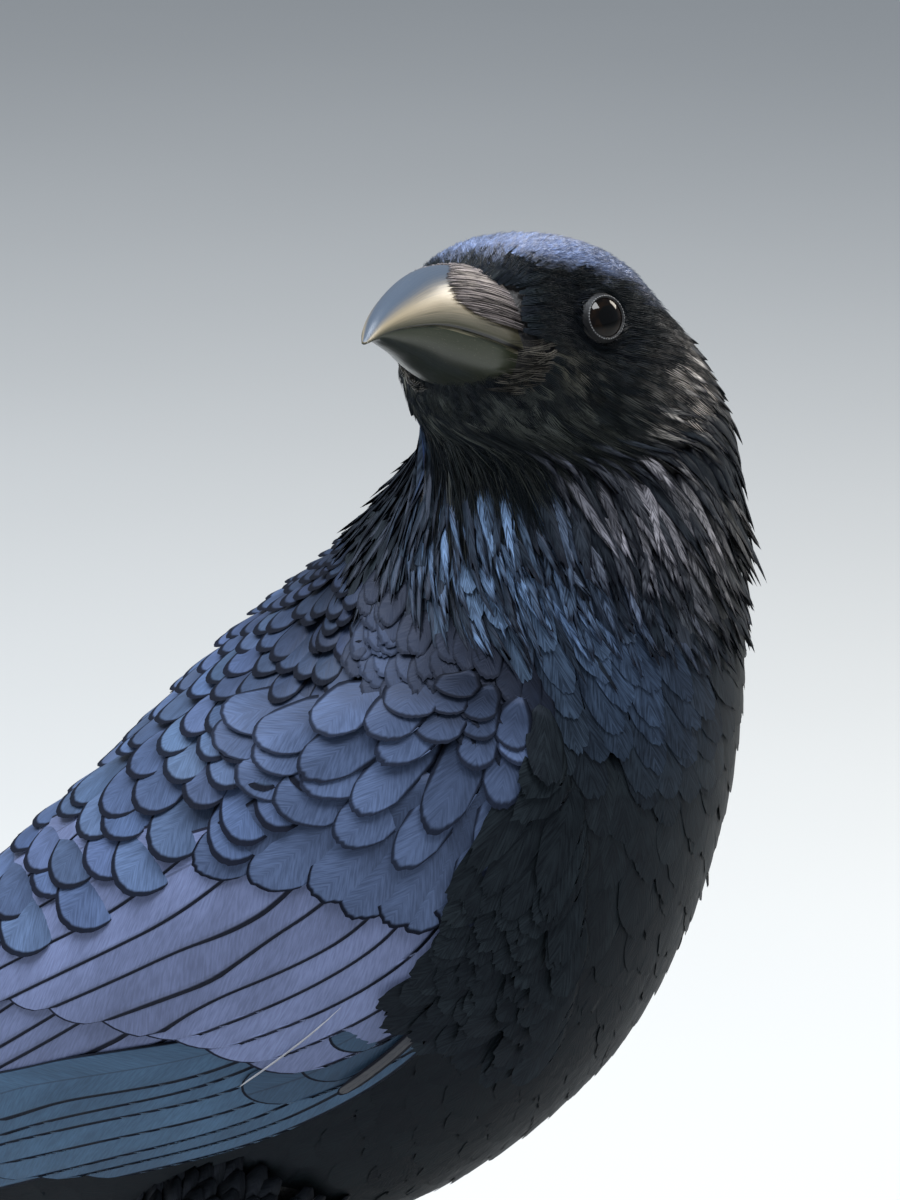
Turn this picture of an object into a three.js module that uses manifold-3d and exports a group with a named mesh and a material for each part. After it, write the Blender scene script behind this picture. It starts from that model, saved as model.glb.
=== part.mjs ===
// A carrion crow (Corvus corone) that stands still with its head turned to its right.
// Life size in millimetres: +Z is up, the bird faces -Y and its left side is +X.
// The origin is on the floor under the middle of the bird's outer box.
import * as THREE from 'three';
import { mergeVertices } from 'three/addons/utils/BufferGeometryUtils.js';
import Module from 'manifold-3d';

const wasm = await Module();
wasm.setup();

// ---- Driving dimensions, in millimetres and degrees ----
const GAP = 0.3;                  // clearance between pieces that meet
const FAR = 900;                  // edge of the blocks that cut the body into parts
const TUCK = 0.6;                 // half thickness of a wing at its edges
const END_ROOM = 0.015;           // extra room at a wing part's ends, in stations

const HEAD_CENTRE = [-14.7, 1, 272.5];
const HEAD_YAW = 92.5;            // turned to the bird's right
const HEAD_PITCH = 23.7;          // bill raised
const HEAD_ROLL = -7.4;           // crown leaning to the bird's right
const HEAD_POWER = 2.25;          // squareness of the head's section

const EYE_RADIUS = 6.2;
const EYE_FORWARD = 1;            // eye centre in the head's own axes
const EYE_SIDE = 14.6;
const EYE_UP = 1;
const FACE_HOLLOW = 3.6;          // how deep the lores and the eye lie in the face

const BILL_BACK = 12;             // where the bill's core starts inside the head

const TAIL_LENGTH = 185;
const TAIL_PITCH = 24;            // below level
const TAIL_ROOT = [0, 108, 93];
const TAIL_ROOT_HALF_WIDTH = 15;
const TAIL_TIP_HALF_WIDTH = 29;
const TAIL_ROOT_HALF_THICKNESS = 4.5;
const TAIL_TIP_HALF_THICKNESS = 1;
const TAIL_CROWN = 4;             // how much the closed tail is roofed across

const LEG_SPREAD = 28;            // foot's distance from the middle plane
const FOOT_Y = 52;
const HEEL_Y = 78;
const HEEL_Z = 61;
const ANKLE_Z = 9;
const TOE_SINK = 0.5;             // how far each toe pad is flattened by the floor
const CLAW_LIFT = 0.35;           // claw tips clear the floor

// ---- Stations of the lofts ----
// Trunk and neck, from the tail coverts to inside the head:
// x, y, z, pitch, yaw, half width, height above and depth below the line.
const BODY = [
  [0, 146, 85, 27, 0, 12, 5, 7],
  [0, 130, 95, 30, 0, 21, 12, 16],
  [0, 110, 108, 36, 0, 33, 24, 33],
  [0, 84, 130, 42, 0, 44, 36, 53],
  [0, 56, 155, 45, 0, 49, 40, 63],
  [0, 30, 182, 51, 0, 49, 41, 62],
  [0, 9, 211, 64, 8, 42, 35.5, 47.5],
  [0, -2, 236, 76, 38, 31.5, 30, 33.5],
  [-2, -7, 254, 82, 70, 26, 24.5, 23],
  [-5, -6, 269, 84, 88, 21, 18.5, 18],
  [-7, -5, 278, 86, 90, 12, 13, 9],
];

// Head, back to front: forward, centre height, half width, height above, depth below.
const HEAD = [
  [-33, -3.5, 1, 1, 1],
  [-31, -3.5, 11, 9, 10],
  [-24, -3.2, 19.5, 15.5, 18],
  [-11.5, -2, 24, 19.8, 22],
  [0, -1.7, 22.4, 19.4, 21],
  [10, -2.4, 18.6, 16.8, 17.4],
  [17.5, -3, 15.2, 14, 14],
  [24, -4.2, 11.4, 11.6, 11],
  [30, -5.2, 8.7, 10.4, 9.6],
];

// Bill, base to tip: forward, ridge, cutting edge, lower bottom, half width.
const BILL = [
  [12, 5.4, -7.9, -13.2, 11.4],
  [22, 5.9, -7.4, -14.2, 9.8],
  [31.5, 4.6, -7.2, -14, 8.1],
  [40, 1.4, -7.6, -13.2, 6.2],
  [48, -4, -9.4, -12.9, 4.2],
  [53.5, -9, -11.6, -12.9, 2.3],
  [57, -13.8, -14.1, -14.4, 0.5],
];

// Folded wings lie on this form, which leaves the trunk and runs out over the tail:
// y, z, pitch, half width, above, below, top and low edge (degrees from the back's
// ridge), and the wing's rise over the form and depth under it.
const WING = [
  [4, 216, 64, 41, 36, 48, 86, 114, 0.4, 3],
  [12, 206, 60, 44, 38, 52, 66, 123, 2, 4.5],
  [30, 182, 51, 49, 41, 62, 40, 127, 3.5, 5],
  [56, 155, 45, 49, 40, 63, 25, 119, 4, 5],
  [84, 130, 40, 44, 37, 52, 15, 109, 4, 4.5],
  [112, 109, 33, 37, 30.5, 36, 9, 102, 3.5, 3.5],
  [148, 88, 27, 31, 23, 21, 8, 99, 2.5, 2],
  [188, 68, 25, 24, 16, 12, 13, 98, 2, 1],
  [226, 50.5, 25, 17, 12, 7, 36, 96, 1.2, 0.6],
  [262, 34, 25, 10, 9, 5, 58, 90, 0.5, 0.3],
];
const ARM_END = 4.75;             // station where the covert part ends
const SECONDARY_END = 7;          // station where the folded secondaries end
const FLIGHT_SPLIT = 0.55;        // share of the width held by the secondaries

// Feathered thigh, from inside the belly to the heel: x, y, z, pitch, half width, front, back.
const THIGH = [
  [22, 44, 124, 60, 15, 19, 19],
  [24, 54, 104, 60, 14.5, 18, 18],
  [26, 64, 86, 60, 11, 13, 13],
  [27, 73, 71, 60, 6.4, 7.5, 7.5],
  [27.4, HEEL_Y - 1, HEEL_Z, 62, 3.8, 4.6, 4.6],
];
const TARSUS = [
  [27.4, HEEL_Y - 1, HEEL_Z + 4, 115, 3, 3.8, 3.8],
  [27.5, HEEL_Y - 2, HEEL_Z - 3, 115, 2.9, 3.7, 3.6],
  [27.8, HEEL_Y - 9, HEEL_Z - 18, 115, 2.2, 2.7, 2.7],
  [LEG_SPREAD, FOOT_Y + 6, 18, 115, 2.2, 2.7, 2.7],
  [LEG_SPREAD, FOOT_Y + 1, 7, 115, 3, 3.6, 3.6],
  [LEG_SPREAD, FOOT_Y - 1, 3.2, 115, 4, 4.6, 4.6],
];

// Toes: direction (degrees outwards from straight ahead), length, half width, claw length.
const TOES = [
  { turn: -26, length: 25, half: 2.6, claw: 10 },
  { turn: 6, length: 35, half: 2.7, claw: 11 },
  { turn: 40, length: 27, half: 2.5, claw: 9.5 },
  { turn: 184, length: 20, half: 2.9, claw: 13.5 },
];

// ---- Materials ----
function finish(colour, roughness, metalness = 0) {
  return new THREE.MeshStandardMaterial({ color: colour, roughness, metalness });
}
const PLUMAGE = finish(0x14151b, 0.6);
const WING_PLUMAGE = finish(0x3a4054, 0.5);
const BILL_HORN = finish(0x1e1d1c, 0.3);
const EYE_GLOSS = finish(0x120d09, 0.05);
const LEG_SCALE = finish(0x141414, 0.5);
const CLAW_HORN = finish(0x0d0d0d, 0.35);

// ---- Small helpers ----
const rad = THREE.MathUtils.degToRad;
const mix = THREE.MathUtils.lerp;

// Turns what faces -Y: yaw to its right, pitch upwards, roll towards its left.
function attitude(yaw, pitch, roll = 0) {
  return new THREE.Quaternion().setFromEuler(
    new THREE.Euler(rad(-pitch), rad(roll), rad(-yaw), 'ZXY'));
}

function place(position, turn) {
  return new THREE.Matrix4().compose(
    new THREE.Vector3(...position), turn, new THREE.Vector3(1, 1, 1));
}

// Catmull-Rom blend of the rows of a table at t, counted in rows.
function blend(rows, t) {
  const last = rows.length - 1;
  const i = Math.min(Math.max(Math.floor(t), 0), last - 1);
  const u = t - i;
  const after = rows[i + 1];
  return rows[i].map((p1, k) => {
    const p2 = after[k];
    const p0 = i > 0 ? rows[i - 1][k] : 2 * p1 - p2;
    const p3 = i < last - 1 ? rows[i + 2][k] : 2 * p2 - p1;
    return 0.5 * (2 * p1 + (p2 - p0) * u + (2 * p0 - 5 * p1 + 4 * p2 - p3) * u * u
      + (3 * p1 - p0 - 3 * p2 + p3) * u * u * u);
  });
}

// Keeps the sign of a sine or cosine and raises its size to a power.
function bow(value, power) {
  return Math.sign(value) * Math.abs(value) ** power;
}

// Point of a section at an angle from its top: half width, above and below may differ.
function section(angle, halfWidth, above, below, power = 2) {
  const side = bow(Math.sin(angle), 2 / power) * halfWidth;
  const up = bow(Math.cos(angle), 2 / power) * (Math.cos(angle) > 0 ? above : below);
  return [side, up];
}

// Closed body through rings of points. Each end is zipped up from its first point
// to its middle one, which also closes a crescent.
function skinRings(rings) {
  const sides = rings[0].length;
  const positions = rings.flat().flatMap((p) => [p.x, p.y, p.z]);
  const faces = [];
  for (let i = 0; i < rings.length - 1; i += 1) {
    for (let j = 0; j < sides; j += 1) {
      const a = i * sides + j;
      const b = i * sides + (j + 1) % sides;
      faces.push(a, b, a + sides, b, b + sides, a + sides);
    }
  }
  const lastRing = (rings.length - 1) * sides;
  for (let a = 0, b = sides - 1; b - a > 1; a += 1, b -= 1) {
    const zip = b - a > 2 ? [[a, b, a + 1], [a + 1, b, b - 1]] : [[a, b, a + 1]];
    for (const [p, q, r] of zip) {
      faces.push(p, q, r, lastRing + p, lastRing + r, lastRing + q);
    }
  }
  const geometry = new THREE.BufferGeometry();
  geometry.setAttribute('position', new THREE.Float32BufferAttribute(positions, 3));
  geometry.setIndex(volume(positions, faces) < 0 ? turnedOver(faces) : faces);
  return geometry;
}

function volume(positions, faces) {
  let sum = 0;
  const corner = (i) => new THREE.Vector3().fromArray(positions, 3 * i);
  for (let i = 0; i < faces.length; i += 3) {
    const [a, b, c] = [corner(faces[i]), corner(faces[i + 1]), corner(faces[i + 2])];
    sum += a.dot(b.cross(c));
  }
  return sum;
}

function turnedOver(faces) {
  const out = [];
  for (let i = 0; i < faces.length; i += 3) {
    out.push(faces[i], faces[i + 2], faces[i + 1]);
  }
  return out;
}

// ---- Solids that can be cut and joined ----
function solid(geometry, matrix = null) {
  const bare = geometry.clone();
  bare.deleteAttribute('normal');
  bare.deleteAttribute('uv');
  if (matrix) {
    bare.applyMatrix4(matrix);
  }
  const merged = mergeVertices(bare);
  return new wasm.Manifold(new wasm.Mesh({
    numProp: 3,
    vertProperties: new Float32Array(merged.attributes.position.array),
    triVerts: new Uint32Array(merged.index.array),
  }));
}

function surface(body) {
  const mesh = body.getMesh();
  const geometry = new THREE.BufferGeometry();
  geometry.setAttribute('position', new THREE.Float32BufferAttribute(mesh.vertProperties, 3));
  geometry.setIndex(Array.from(mesh.triVerts));
  return geometry;
}

// A block whose -Y face passes through a point: it holds all that lies behind.
function blockBehind(point, pitch) {
  const block = new THREE.BoxGeometry(FAR, FAR, FAR).translate(0, FAR / 2, 0);
  return solid(block, place(point, attitude(0, pitch)));
}

// Parts a body by a thin cut through a point; pitch 0 cuts straight across the bird.
function parted(body, point, pitch) {
  const ahead = new THREE.Vector3(0, -1, 0).applyQuaternion(attitude(0, pitch));
  const start = new THREE.Vector3(...point).addScaledVector(ahead, GAP).toArray();
  return [body.subtract(blockBehind(start, pitch)), body.intersect(blockBehind(point, pitch))];
}

function node(name, geometry, material, parent) {
  const mesh = new THREE.Mesh(geometry, material);
  mesh.name = name;
  parent.add(mesh);
  return mesh;
}

// ---- Trunk, neck and head ----
function bodyLoft(grow = 0, steps = 24, sides = 22) {
  const rings = [];
  for (let i = 0; i <= steps; i += 1) {
    const [x, y, z, pitch, yaw, halfWidth, above, below] = blend(BODY, i * (BODY.length - 1) / steps);
    const matrix = place([x, y, z], attitude(yaw, pitch));
    rings.push(Array.from({ length: sides }, (_, j) => {
      const [side, up] = section(2 * Math.PI * j / sides, halfWidth + grow, above + grow, below + grow);
      return new THREE.Vector3(side, 0, up).applyMatrix4(matrix);
    }));
  }
  return skinRings(rings);
}

// The face sinks in front of and around the eye, between the brow and the cheek.
function faceHollow(side, forward, up) {
  const along = (forward - 5) / 11;
  const across = (up - 0.5) / 8;
  return side - Math.sign(side) * FACE_HOLLOW * Math.exp(-along * along - across * across)
    * Math.min(1, Math.abs(side) / 8);
}

function headLoft(steps = 16, sides = 20) {
  const rings = [];
  for (let i = 0; i <= steps; i += 1) {
    const [forward, centre, halfWidth, above, below] = blend(HEAD, i * (HEAD.length - 1) / steps);
    rings.push(Array.from({ length: sides }, (_, j) => {
      const angle = 2 * Math.PI * j / sides;
      const [side, up] = section(angle, halfWidth, above, below, HEAD_POWER);
      return new THREE.Vector3(faceHollow(side, forward, centre + up), -forward, centre + up);
    }));
  }
  return skinRings(rings);
}

// Half of the bill: the upper one arches over the cutting edge, the lower one hangs from it.
function billHalf(upper, grow = 0, steps = 11, sides = 9) {
  const rings = [];
  const clear = grow > 0 ? grow : -GAP / 2;
  for (let i = 0; i <= steps; i += 1) {
    const [forward, ridge, edge, bottom, halfWidth] = blend(BILL, i * (BILL.length - 1) / steps);
    const rim = upper ? edge - clear : edge + clear;
    const reach = upper ? ridge + grow - rim : bottom - grow - rim;
    const ahead = i === 0 ? forward - grow : forward;
    rings.push(Array.from({ length: sides + 1 }, (_, j) => {
      const angle = Math.PI * j / sides;
      const side = bow(Math.cos(angle), upper ? 1.1 : 0.8) * (halfWidth + grow) * (upper ? 1 : 0.94);
      const up = rim + reach * Math.sin(angle) ** (upper ? 0.95 : 0.7);
      return new THREE.Vector3(side, -ahead, up);
    }));
  }
  return skinRings(rings);
}

// ---- Wings ----
// Point of a wing: u counts stations, v runs from the top edge to the low edge.
function wingPoint(u, v, inner, side, grow) {
  const [y, z, pitch, halfWidth, above, below, top, low, rise, depth] = blend(WING, u);
  const angle = rad(mix(top, low, v));
  const swell = Math.sin(Math.PI * Math.min(Math.max(v, 0), 1)) ** 0.45;
  const offset = inner ? -depth * swell - TUCK - grow : rise * swell + TUCK + grow;
  const [across, up] = section(angle, halfWidth + offset, above + offset, below + offset);
  return new THREE.Vector3(side * across, 0, up).applyMatrix4(place([0, y, z], attitude(0, pitch)));
}

// One closed sheet of the wing between two stations and two lines along it.
// A grown sheet, which makes room for the wing, also reaches a little past both ends.
function wingSheet(side, { from, to, topLine, lowLine, steps, sides }, grow = 0) {
  const stations = Array.from({ length: steps + 1 }, (_, i) => mix(from, to, i / steps));
  if (grow > 0) {
    stations.unshift(from - END_ROOM);
    stations.push(to + END_ROOM);
  }
  return skinRings(stations.map((u) => {
    const [, , , halfWidth, , , top, low] = blend(WING, u);
    const margin = grow / (halfWidth * rad(low - top));
    const start = topLine(u) - margin;
    const end = lowLine(u) + margin;
    const line = (inner, v0, v1) => Array.from({ length: sides + 1 }, (_, j) =>
      wingPoint(u, mix(v0, v1, j / sides), inner, side, grow));
    return [...line(false, start, end), ...line(true, end, start)];
  }));
}

const WING_PARTS = {
  wing: { from: 0, to: ARM_END, topLine: () => 0, lowLine: () => 1, steps: 11, sides: 9 },
  secondaries: {
    from: ARM_END + 0.02, to: SECONDARY_END, topLine: () => 0, lowLine: () => FLIGHT_SPLIT,
    steps: 6, sides: 5,
  },
  primaries: {
    from: ARM_END + 0.02, to: WING.length - 1, steps: 13, sides: 5, lowLine: () => 1,
    topLine: (u) => (FLIGHT_SPLIT + 0.02) * Math.min(1, Math.max(0, (SECONDARY_END + 0.7 - u) / 0.65)),
  },
};

// The room that a folded wing takes up in the flank, the thigh and the tail.
function wingRoom(side) {
  return Object.values(WING_PARTS).map((shape) => solid(wingSheet(side, shape, GAP)))
    .reduce((all, sheet) => all.add(sheet));
}

// ---- Tail ----
function tailLoft(steps = 9, sides = 14) {
  const rings = [];
  const matrix = place(TAIL_ROOT, attitude(180, -TAIL_PITCH));
  for (let i = 0; i <= steps; i += 1) {
    const t = Math.sin(Math.PI / 2 * i / steps);
    const rounded = Math.sqrt(1 - Math.max(0, (t - 0.82) / 0.184) ** 2);
    const halfWidth = mix(TAIL_ROOT_HALF_WIDTH, TAIL_TIP_HALF_WIDTH, t ** 0.8) * rounded;
    const half = mix(TAIL_ROOT_HALF_THICKNESS, TAIL_TIP_HALF_THICKNESS, t ** 0.7);
    rings.push(Array.from({ length: sides }, (_, j) => {
      const [side, up] = section(2 * Math.PI * j / sides, halfWidth, half, half, 2.6);
      const roof = -TAIL_CROWN * (side / TAIL_TIP_HALF_WIDTH) ** 2;
      return new THREE.Vector3(side, -t * TAIL_LENGTH, up + roof).applyMatrix4(matrix);
    }));
  }
  return skinRings(rings);
}

// ---- Legs ----
function limbLoft(stations, side, steps, sides) {
  const rings = [];
  for (let i = 0; i <= steps; i += 1) {
    const [x, y, z, pitch, halfWidth, front, back] = blend(stations, i * (stations.length - 1) / steps);
    const matrix = place([side * x, y, z], attitude(0, pitch));
    rings.push(Array.from({ length: sides }, (_, j) => {
      const [across, up] = section(2 * Math.PI * j / sides, halfWidth, back, front);
      return new THREE.Vector3(across, 0, up).applyMatrix4(matrix);
    }));
  }
  return skinRings(rings);
}

function toeMatrix(toe, side) {
  return place([side * LEG_SPREAD, FOOT_Y, 0], attitude(-side * toe.turn, 0));
}

// A toe with a swelling pad under each joint, low enough for the floor to flatten it.
function toeLoft(toe, side, steps = 6, sides = 6) {
  const rings = [];
  const matrix = toeMatrix(toe, side);
  for (let i = 0; i <= steps; i += 1) {
    const t = i / steps;
    const half = toe.half * mix(1.12, 0.8, t) * (1 + 0.12 * Math.cos(6 * Math.PI * t));
    const rise = half - TOE_SINK + 3 * Math.max(0, 0.25 - t);
    rings.push(Array.from({ length: sides }, (_, j) => {
      const angle = 2 * Math.PI * (j + 0.5) / sides;
      return new THREE.Vector3(Math.sin(angle) * half, -t * toe.length, Math.cos(angle) * half + rise)
        .applyMatrix4(matrix);
    }));
  }
  return skinRings(rings);
}

// A curved claw that starts a gap ahead of its toe and points down to just above the floor.
function clawLoft(toe, side, steps = 4, sides = 6) {
  const rings = [];
  const matrix = toeMatrix(toe, side);
  const base = toe.half * 0.78;
  const sweep = rad(62);
  const radius = toe.claw / sweep;
  const drop = radius * (1 - Math.cos(sweep)) + 0.3 + CLAW_LIFT;
  const start = Math.max(drop, base + CLAW_LIFT);
  for (let i = 0; i <= steps; i += 1) {
    const t = i / steps;
    const turn = sweep * t;
    const half = mix(base, 0.3, t ** 0.9);
    rings.push(Array.from({ length: sides }, (_, j) => {
      const angle = 2 * Math.PI * j / sides;
      const out = radius + Math.cos(angle) * half;
      return new THREE.Vector3(Math.sin(angle) * half * 0.8,
        -(toe.length + GAP) - out * Math.sin(turn), start - radius + out * Math.cos(turn))
        .applyMatrix4(matrix);
    }));
  }
  return skinRings(rings);
}

// ---- Assembly ----
function buildCrow() {
  const crow = new THREE.Group();
  const head = new THREE.Group();
  head.position.set(...HEAD_CENTRE);
  head.quaternion.copy(attitude(HEAD_YAW, HEAD_PITCH, HEAD_ROLL));
  head.updateMatrix();
  crow.add(head);

  const room = { left: wingRoom(1), right: wingRoom(-1) };

  // Head, neck, trunk and tail are one form, parted by thin cuts.
  const form = solid(bodyLoft()).add(solid(headLoft(), head.matrix)).add(solid(tailLoft()))
    .subtract(room.left).subtract(room.right);
  const [headAndNeck, rear] = parted(form, [0, 10, 220], 62);
  const [skull, neck] = parted(headAndNeck, [0, -6, 251], 82);
  const [trunk, tail] = parted(rear, [0, 128, 92], 30);

  // The bill and the eyes sit in pockets of the skull.
  let face = skull;
  for (const upper of [true, false]) {
    face = face.subtract(solid(billHalf(upper, GAP), head.matrix));
    node(upper ? 'bill_upper' : 'bill_lower', billHalf(upper), BILL_HORN, head);
  }
  for (const [name, side] of [['eye_left', 1], ['eye_right', -1]]) {
    const centre = [side * EYE_SIDE, -EYE_FORWARD, EYE_UP];
    const socket = new THREE.SphereGeometry(EYE_RADIUS + GAP, 12, 8).translate(...centre);
    face = face.subtract(solid(socket, head.matrix));
    const eye = new THREE.SphereGeometry(EYE_RADIUS, 12, 8);
    node(name, eye, EYE_GLOSS, head).position.set(...centre);
  }
  node('head', surface(face), PLUMAGE, crow);
  node('neck', surface(neck), PLUMAGE, crow);
  node('trunk', surface(trunk), PLUMAGE, crow);
  node('tail', surface(tail), WING_PLUMAGE, crow);

  const bodyRoom = solid(bodyLoft(GAP));
  const underFloor = solid(new THREE.BoxGeometry(FAR, FAR, FAR).translate(0, 0, -FAR / 2));
  for (const [name, side] of [['left', 1], ['right', -1]]) {
    for (const [part, shape] of Object.entries(WING_PARTS)) {
      node(`${part}_${name}`, wingSheet(side, shape), WING_PLUMAGE, crow);
    }
    // Thigh, tarsus and toes are one limb, parted at the belly, the heel and the ankle.
    let limb = solid(limbLoft(THIGH, side, 8, 12)).add(solid(limbLoft(TARSUS, side, 9, 9)));
    for (const toe of TOES) {
      limb = limb.add(solid(toeLoft(toe, side)));
    }
    limb = limb.subtract(underFloor).subtract(bodyRoom);
    const [thigh, lowerLeg] = parted(limb, [0, HEEL_Y, HEEL_Z], 90);
    const [tarsus, foot] = parted(lowerLeg, [0, FOOT_Y, ANKLE_Z], 90);
    node(`thigh_${name}`, surface(thigh.subtract(room[name])), PLUMAGE, crow);
    node(`tarsus_${name}`, surface(tarsus), LEG_SCALE, crow);
    node(`foot_${name}`, surface(foot), LEG_SCALE, crow);
    TOES.forEach((toe, i) => node(`claw_${name}_${i + 1}`, clawLoft(toe, side), CLAW_HORN, crow));
  }
  return crow;
}

// Slides the bird so that its outer box is centred over the origin.
function centred(crow) {
  crow.updateMatrixWorld(true);
  const box = new THREE.Box3().setFromObject(crow, true);
  const middle = box.getCenter(new THREE.Vector3());
  crow.position.set(-middle.x, -middle.y, 0);
  crow.updateMatrixWorld(true);
  return crow;
}

export default centred(buildCrow());
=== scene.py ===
import itertools
import math

import bmesh
import bpy
import numpy as np
from mathutils import Matrix, Vector
from mathutils.bvhtree import BVHTree


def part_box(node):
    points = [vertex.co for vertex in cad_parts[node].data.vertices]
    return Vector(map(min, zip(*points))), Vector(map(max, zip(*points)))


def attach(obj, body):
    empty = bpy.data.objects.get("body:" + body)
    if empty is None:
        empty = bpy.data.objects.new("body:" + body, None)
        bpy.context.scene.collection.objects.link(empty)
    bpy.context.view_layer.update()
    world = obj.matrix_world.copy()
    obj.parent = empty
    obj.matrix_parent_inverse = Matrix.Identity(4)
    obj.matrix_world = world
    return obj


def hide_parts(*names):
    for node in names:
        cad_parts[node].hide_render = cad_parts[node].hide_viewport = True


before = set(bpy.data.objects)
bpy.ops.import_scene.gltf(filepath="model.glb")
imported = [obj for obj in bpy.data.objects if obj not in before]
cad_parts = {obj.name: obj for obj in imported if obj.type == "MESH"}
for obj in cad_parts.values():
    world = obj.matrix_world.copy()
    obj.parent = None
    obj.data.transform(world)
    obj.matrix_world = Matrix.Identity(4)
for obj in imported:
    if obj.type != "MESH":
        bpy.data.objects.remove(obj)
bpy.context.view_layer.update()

MM = 0.001
SIDES = (("left", 1), ("right", -1))

# ---- Driving dimensions, shared with the CAD ----
HEAD_CENTRE = np.array([-14.7, 1.0, 272.5])
HEAD_YAW, HEAD_PITCH, HEAD_ROLL = 92.5, 23.7, -7.4
HEAD_POWER = 2.25
EYE_RADIUS = 6.2
EYE_PLACE = (14.6, 1.0, 1.0)          # side, forward, up in the head's axes
# The hollow in front of the eye: how deep, where it is deepest and how far it reaches, forward and up.
FACE_HOLLOW, HOLLOW_PLACE, HOLLOW_REACH = 3.6, (5.0, 0.5), (11.0, 8.0)

# Trunk and neck: x, y, z, pitch, yaw, half width, above, below.
BODY = np.array([
    [0, 146, 85, 27, 0, 12, 5, 7],
    [0, 130, 95, 30, 0, 21, 12, 16],
    [0, 110, 108, 36, 0, 33, 24, 33],
    [0, 84, 130, 42, 0, 44, 36, 53],
    [0, 56, 155, 45, 0, 49, 40, 63],
    [0, 30, 182, 51, 0, 49, 41, 62],
    [0, 9, 211, 64, 8, 42, 35.5, 47.5],
    [0, -2, 236, 76, 38, 31.5, 30, 33.5],
    [-2, -7, 254, 82, 70, 26, 24.5, 23],
    [-5, -6, 269, 84, 88, 21, 18.5, 18],
    [-7, -5, 278, 86, 90, 12, 13, 9],
], float)

# Head, back to front: forward, centre height, half width, above, below.
HEAD = np.array([
    [-33, -3.5, 1, 1, 1],
    [-31, -3.5, 11, 9, 10],
    [-24, -3.2, 19.5, 15.5, 18],
    [-11.5, -2, 24, 19.8, 22],
    [0, -1.7, 22.4, 19.4, 21],
    [10, -2.4, 18.6, 16.8, 17.4],
    [17.5, -3, 15.2, 14, 14],
    [24, -4.2, 11.4, 11.6, 11],
    [30, -5.2, 8.7, 10.4, 9.6],
], float)

# Bill, base to tip: forward, ridge, cutting edge, lower bottom, half width.
BILL = np.array([
    [12, 5.4, -7.9, -13.2, 11.4],
    [22, 5.9, -7.4, -14.2, 9.8],
    [31.5, 4.6, -7.2, -14, 8.1],
    [40, 1.4, -7.6, -13.2, 6.2],
    [48, -4, -9.4, -12.9, 4.2],
    [53.5, -9, -11.6, -12.9, 2.3],
    [57, -13.8, -14.1, -14.4, 0.5],
], float)

# Folded wings: y, z, pitch, half width, above, below, top and low edge in degrees, rise, depth.
WING = np.array([
    [4, 216, 64, 41, 36, 48, 86, 114, 0.4, 3],
    [12, 206, 60, 44, 38, 52, 66, 123, 2, 4.5],
    [30, 182, 51, 49, 41, 62, 40, 127, 3.5, 5],
    [56, 155, 45, 49, 40, 63, 25, 119, 4, 5],
    [84, 130, 40, 44, 37, 52, 15, 109, 4, 4.5],
    [112, 109, 33, 37, 30.5, 36, 9, 102, 3.5, 3.5],
    [148, 88, 27, 31, 23, 21, 8, 99, 2.5, 2],
    [188, 68, 25, 24, 16, 12, 13, 98, 2, 1],
    [226, 50.5, 25, 17, 12, 7, 36, 96, 1.2, 0.6],
    [262, 34, 25, 10, 9, 5, 58, 90, 0.5, 0.3],
], float)
TUCK = 0.6                            # how far both faces of the wing stand out from its rise and depth
ARM_END = 4.75                        # station where the wing's flesh ends

TAIL_LENGTH, TAIL_PITCH = 185.0, 24.0
TAIL_ROOT = np.array([0.0, 108.0, 93.0])
TAIL_HALF_TIP, TAIL_CROWN = 29.0, 4.0

LEG_SPREAD, FOOT_Y, HEEL_Y, HEEL_Z = 28.0, 52.0, 78.0, 61.0
THIGH = np.array([
    [22, 44, 124, 60, 15, 19, 19],
    [24, 54, 104, 60, 14.5, 18, 18],
    [26, 64, 86, 60, 11, 13, 13],
    [27, 73, 71, 60, 6.4, 7.5, 7.5],
    [27.4, HEEL_Y - 1, HEEL_Z, 62, 3.8, 4.6, 4.6],
], float)
TARSUS = np.array([
    [27.4, HEEL_Y - 1, HEEL_Z + 4, 115, 3, 3.8, 3.8],
    [27.5, HEEL_Y - 2, HEEL_Z - 3, 115, 2.9, 3.7, 3.6],
    [27.8, HEEL_Y - 9, HEEL_Z - 18, 115, 2.2, 2.7, 2.7],
    [LEG_SPREAD, FOOT_Y + 6, 18, 115, 2.2, 2.7, 2.7],
    [LEG_SPREAD, FOOT_Y + 1, 7, 115, 3, 3.6, 3.6],
    [LEG_SPREAD, FOOT_Y - 1, 3.2, 115, 4, 4.6, 4.6],
], float)
# Toes: degrees outwards, length, half width.
TOES = [(-26, 25, 2.6), (6, 35, 2.7), (40, 27, 2.5), (184, 20, 2.9)]


# ---- Frames and lofts ----
def axes(yaw, pitch, roll=0.0):
    """Forward, dorsal and left directions of something turned from facing -Y."""
    yaw, pitch, roll = (np.radians(np.asarray(a, float))[..., None] for a in (yaw, pitch, roll))
    level = np.concatenate([-np.sin(yaw), -np.cos(yaw), 0 * yaw], -1)
    up = np.array([0.0, 0.0, 1.0])
    forward = np.cos(pitch) * level + np.sin(pitch) * up
    dorsal = -np.sin(pitch) * level + np.cos(pitch) * up
    left = np.cross(dorsal, forward)
    return forward, np.cos(roll) * dorsal + np.sin(roll) * left, np.cos(roll) * left - np.sin(roll) * dorsal


def blend(rows, t):
    """Catmull-Rom blend of the rows at t, counted in rows."""
    padded = np.vstack([2 * rows[0] - rows[1], rows, 2 * rows[-1] - rows[-2]])
    t = np.asarray(t, float)
    i = np.clip(np.floor(t).astype(int), 0, len(rows) - 2)
    u = (t - i)[..., None]
    a, b, c, d = (padded[i + k] for k in range(4))
    return 0.5 * (2 * b + (c - a) * u + (2 * a - 5 * b + 4 * c - d) * u**2 + (3 * b - a - 3 * c + d) * u**3)


def bow(value, power):
    """A power that keeps the sign."""
    return np.sign(value) * np.abs(value) ** power


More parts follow.
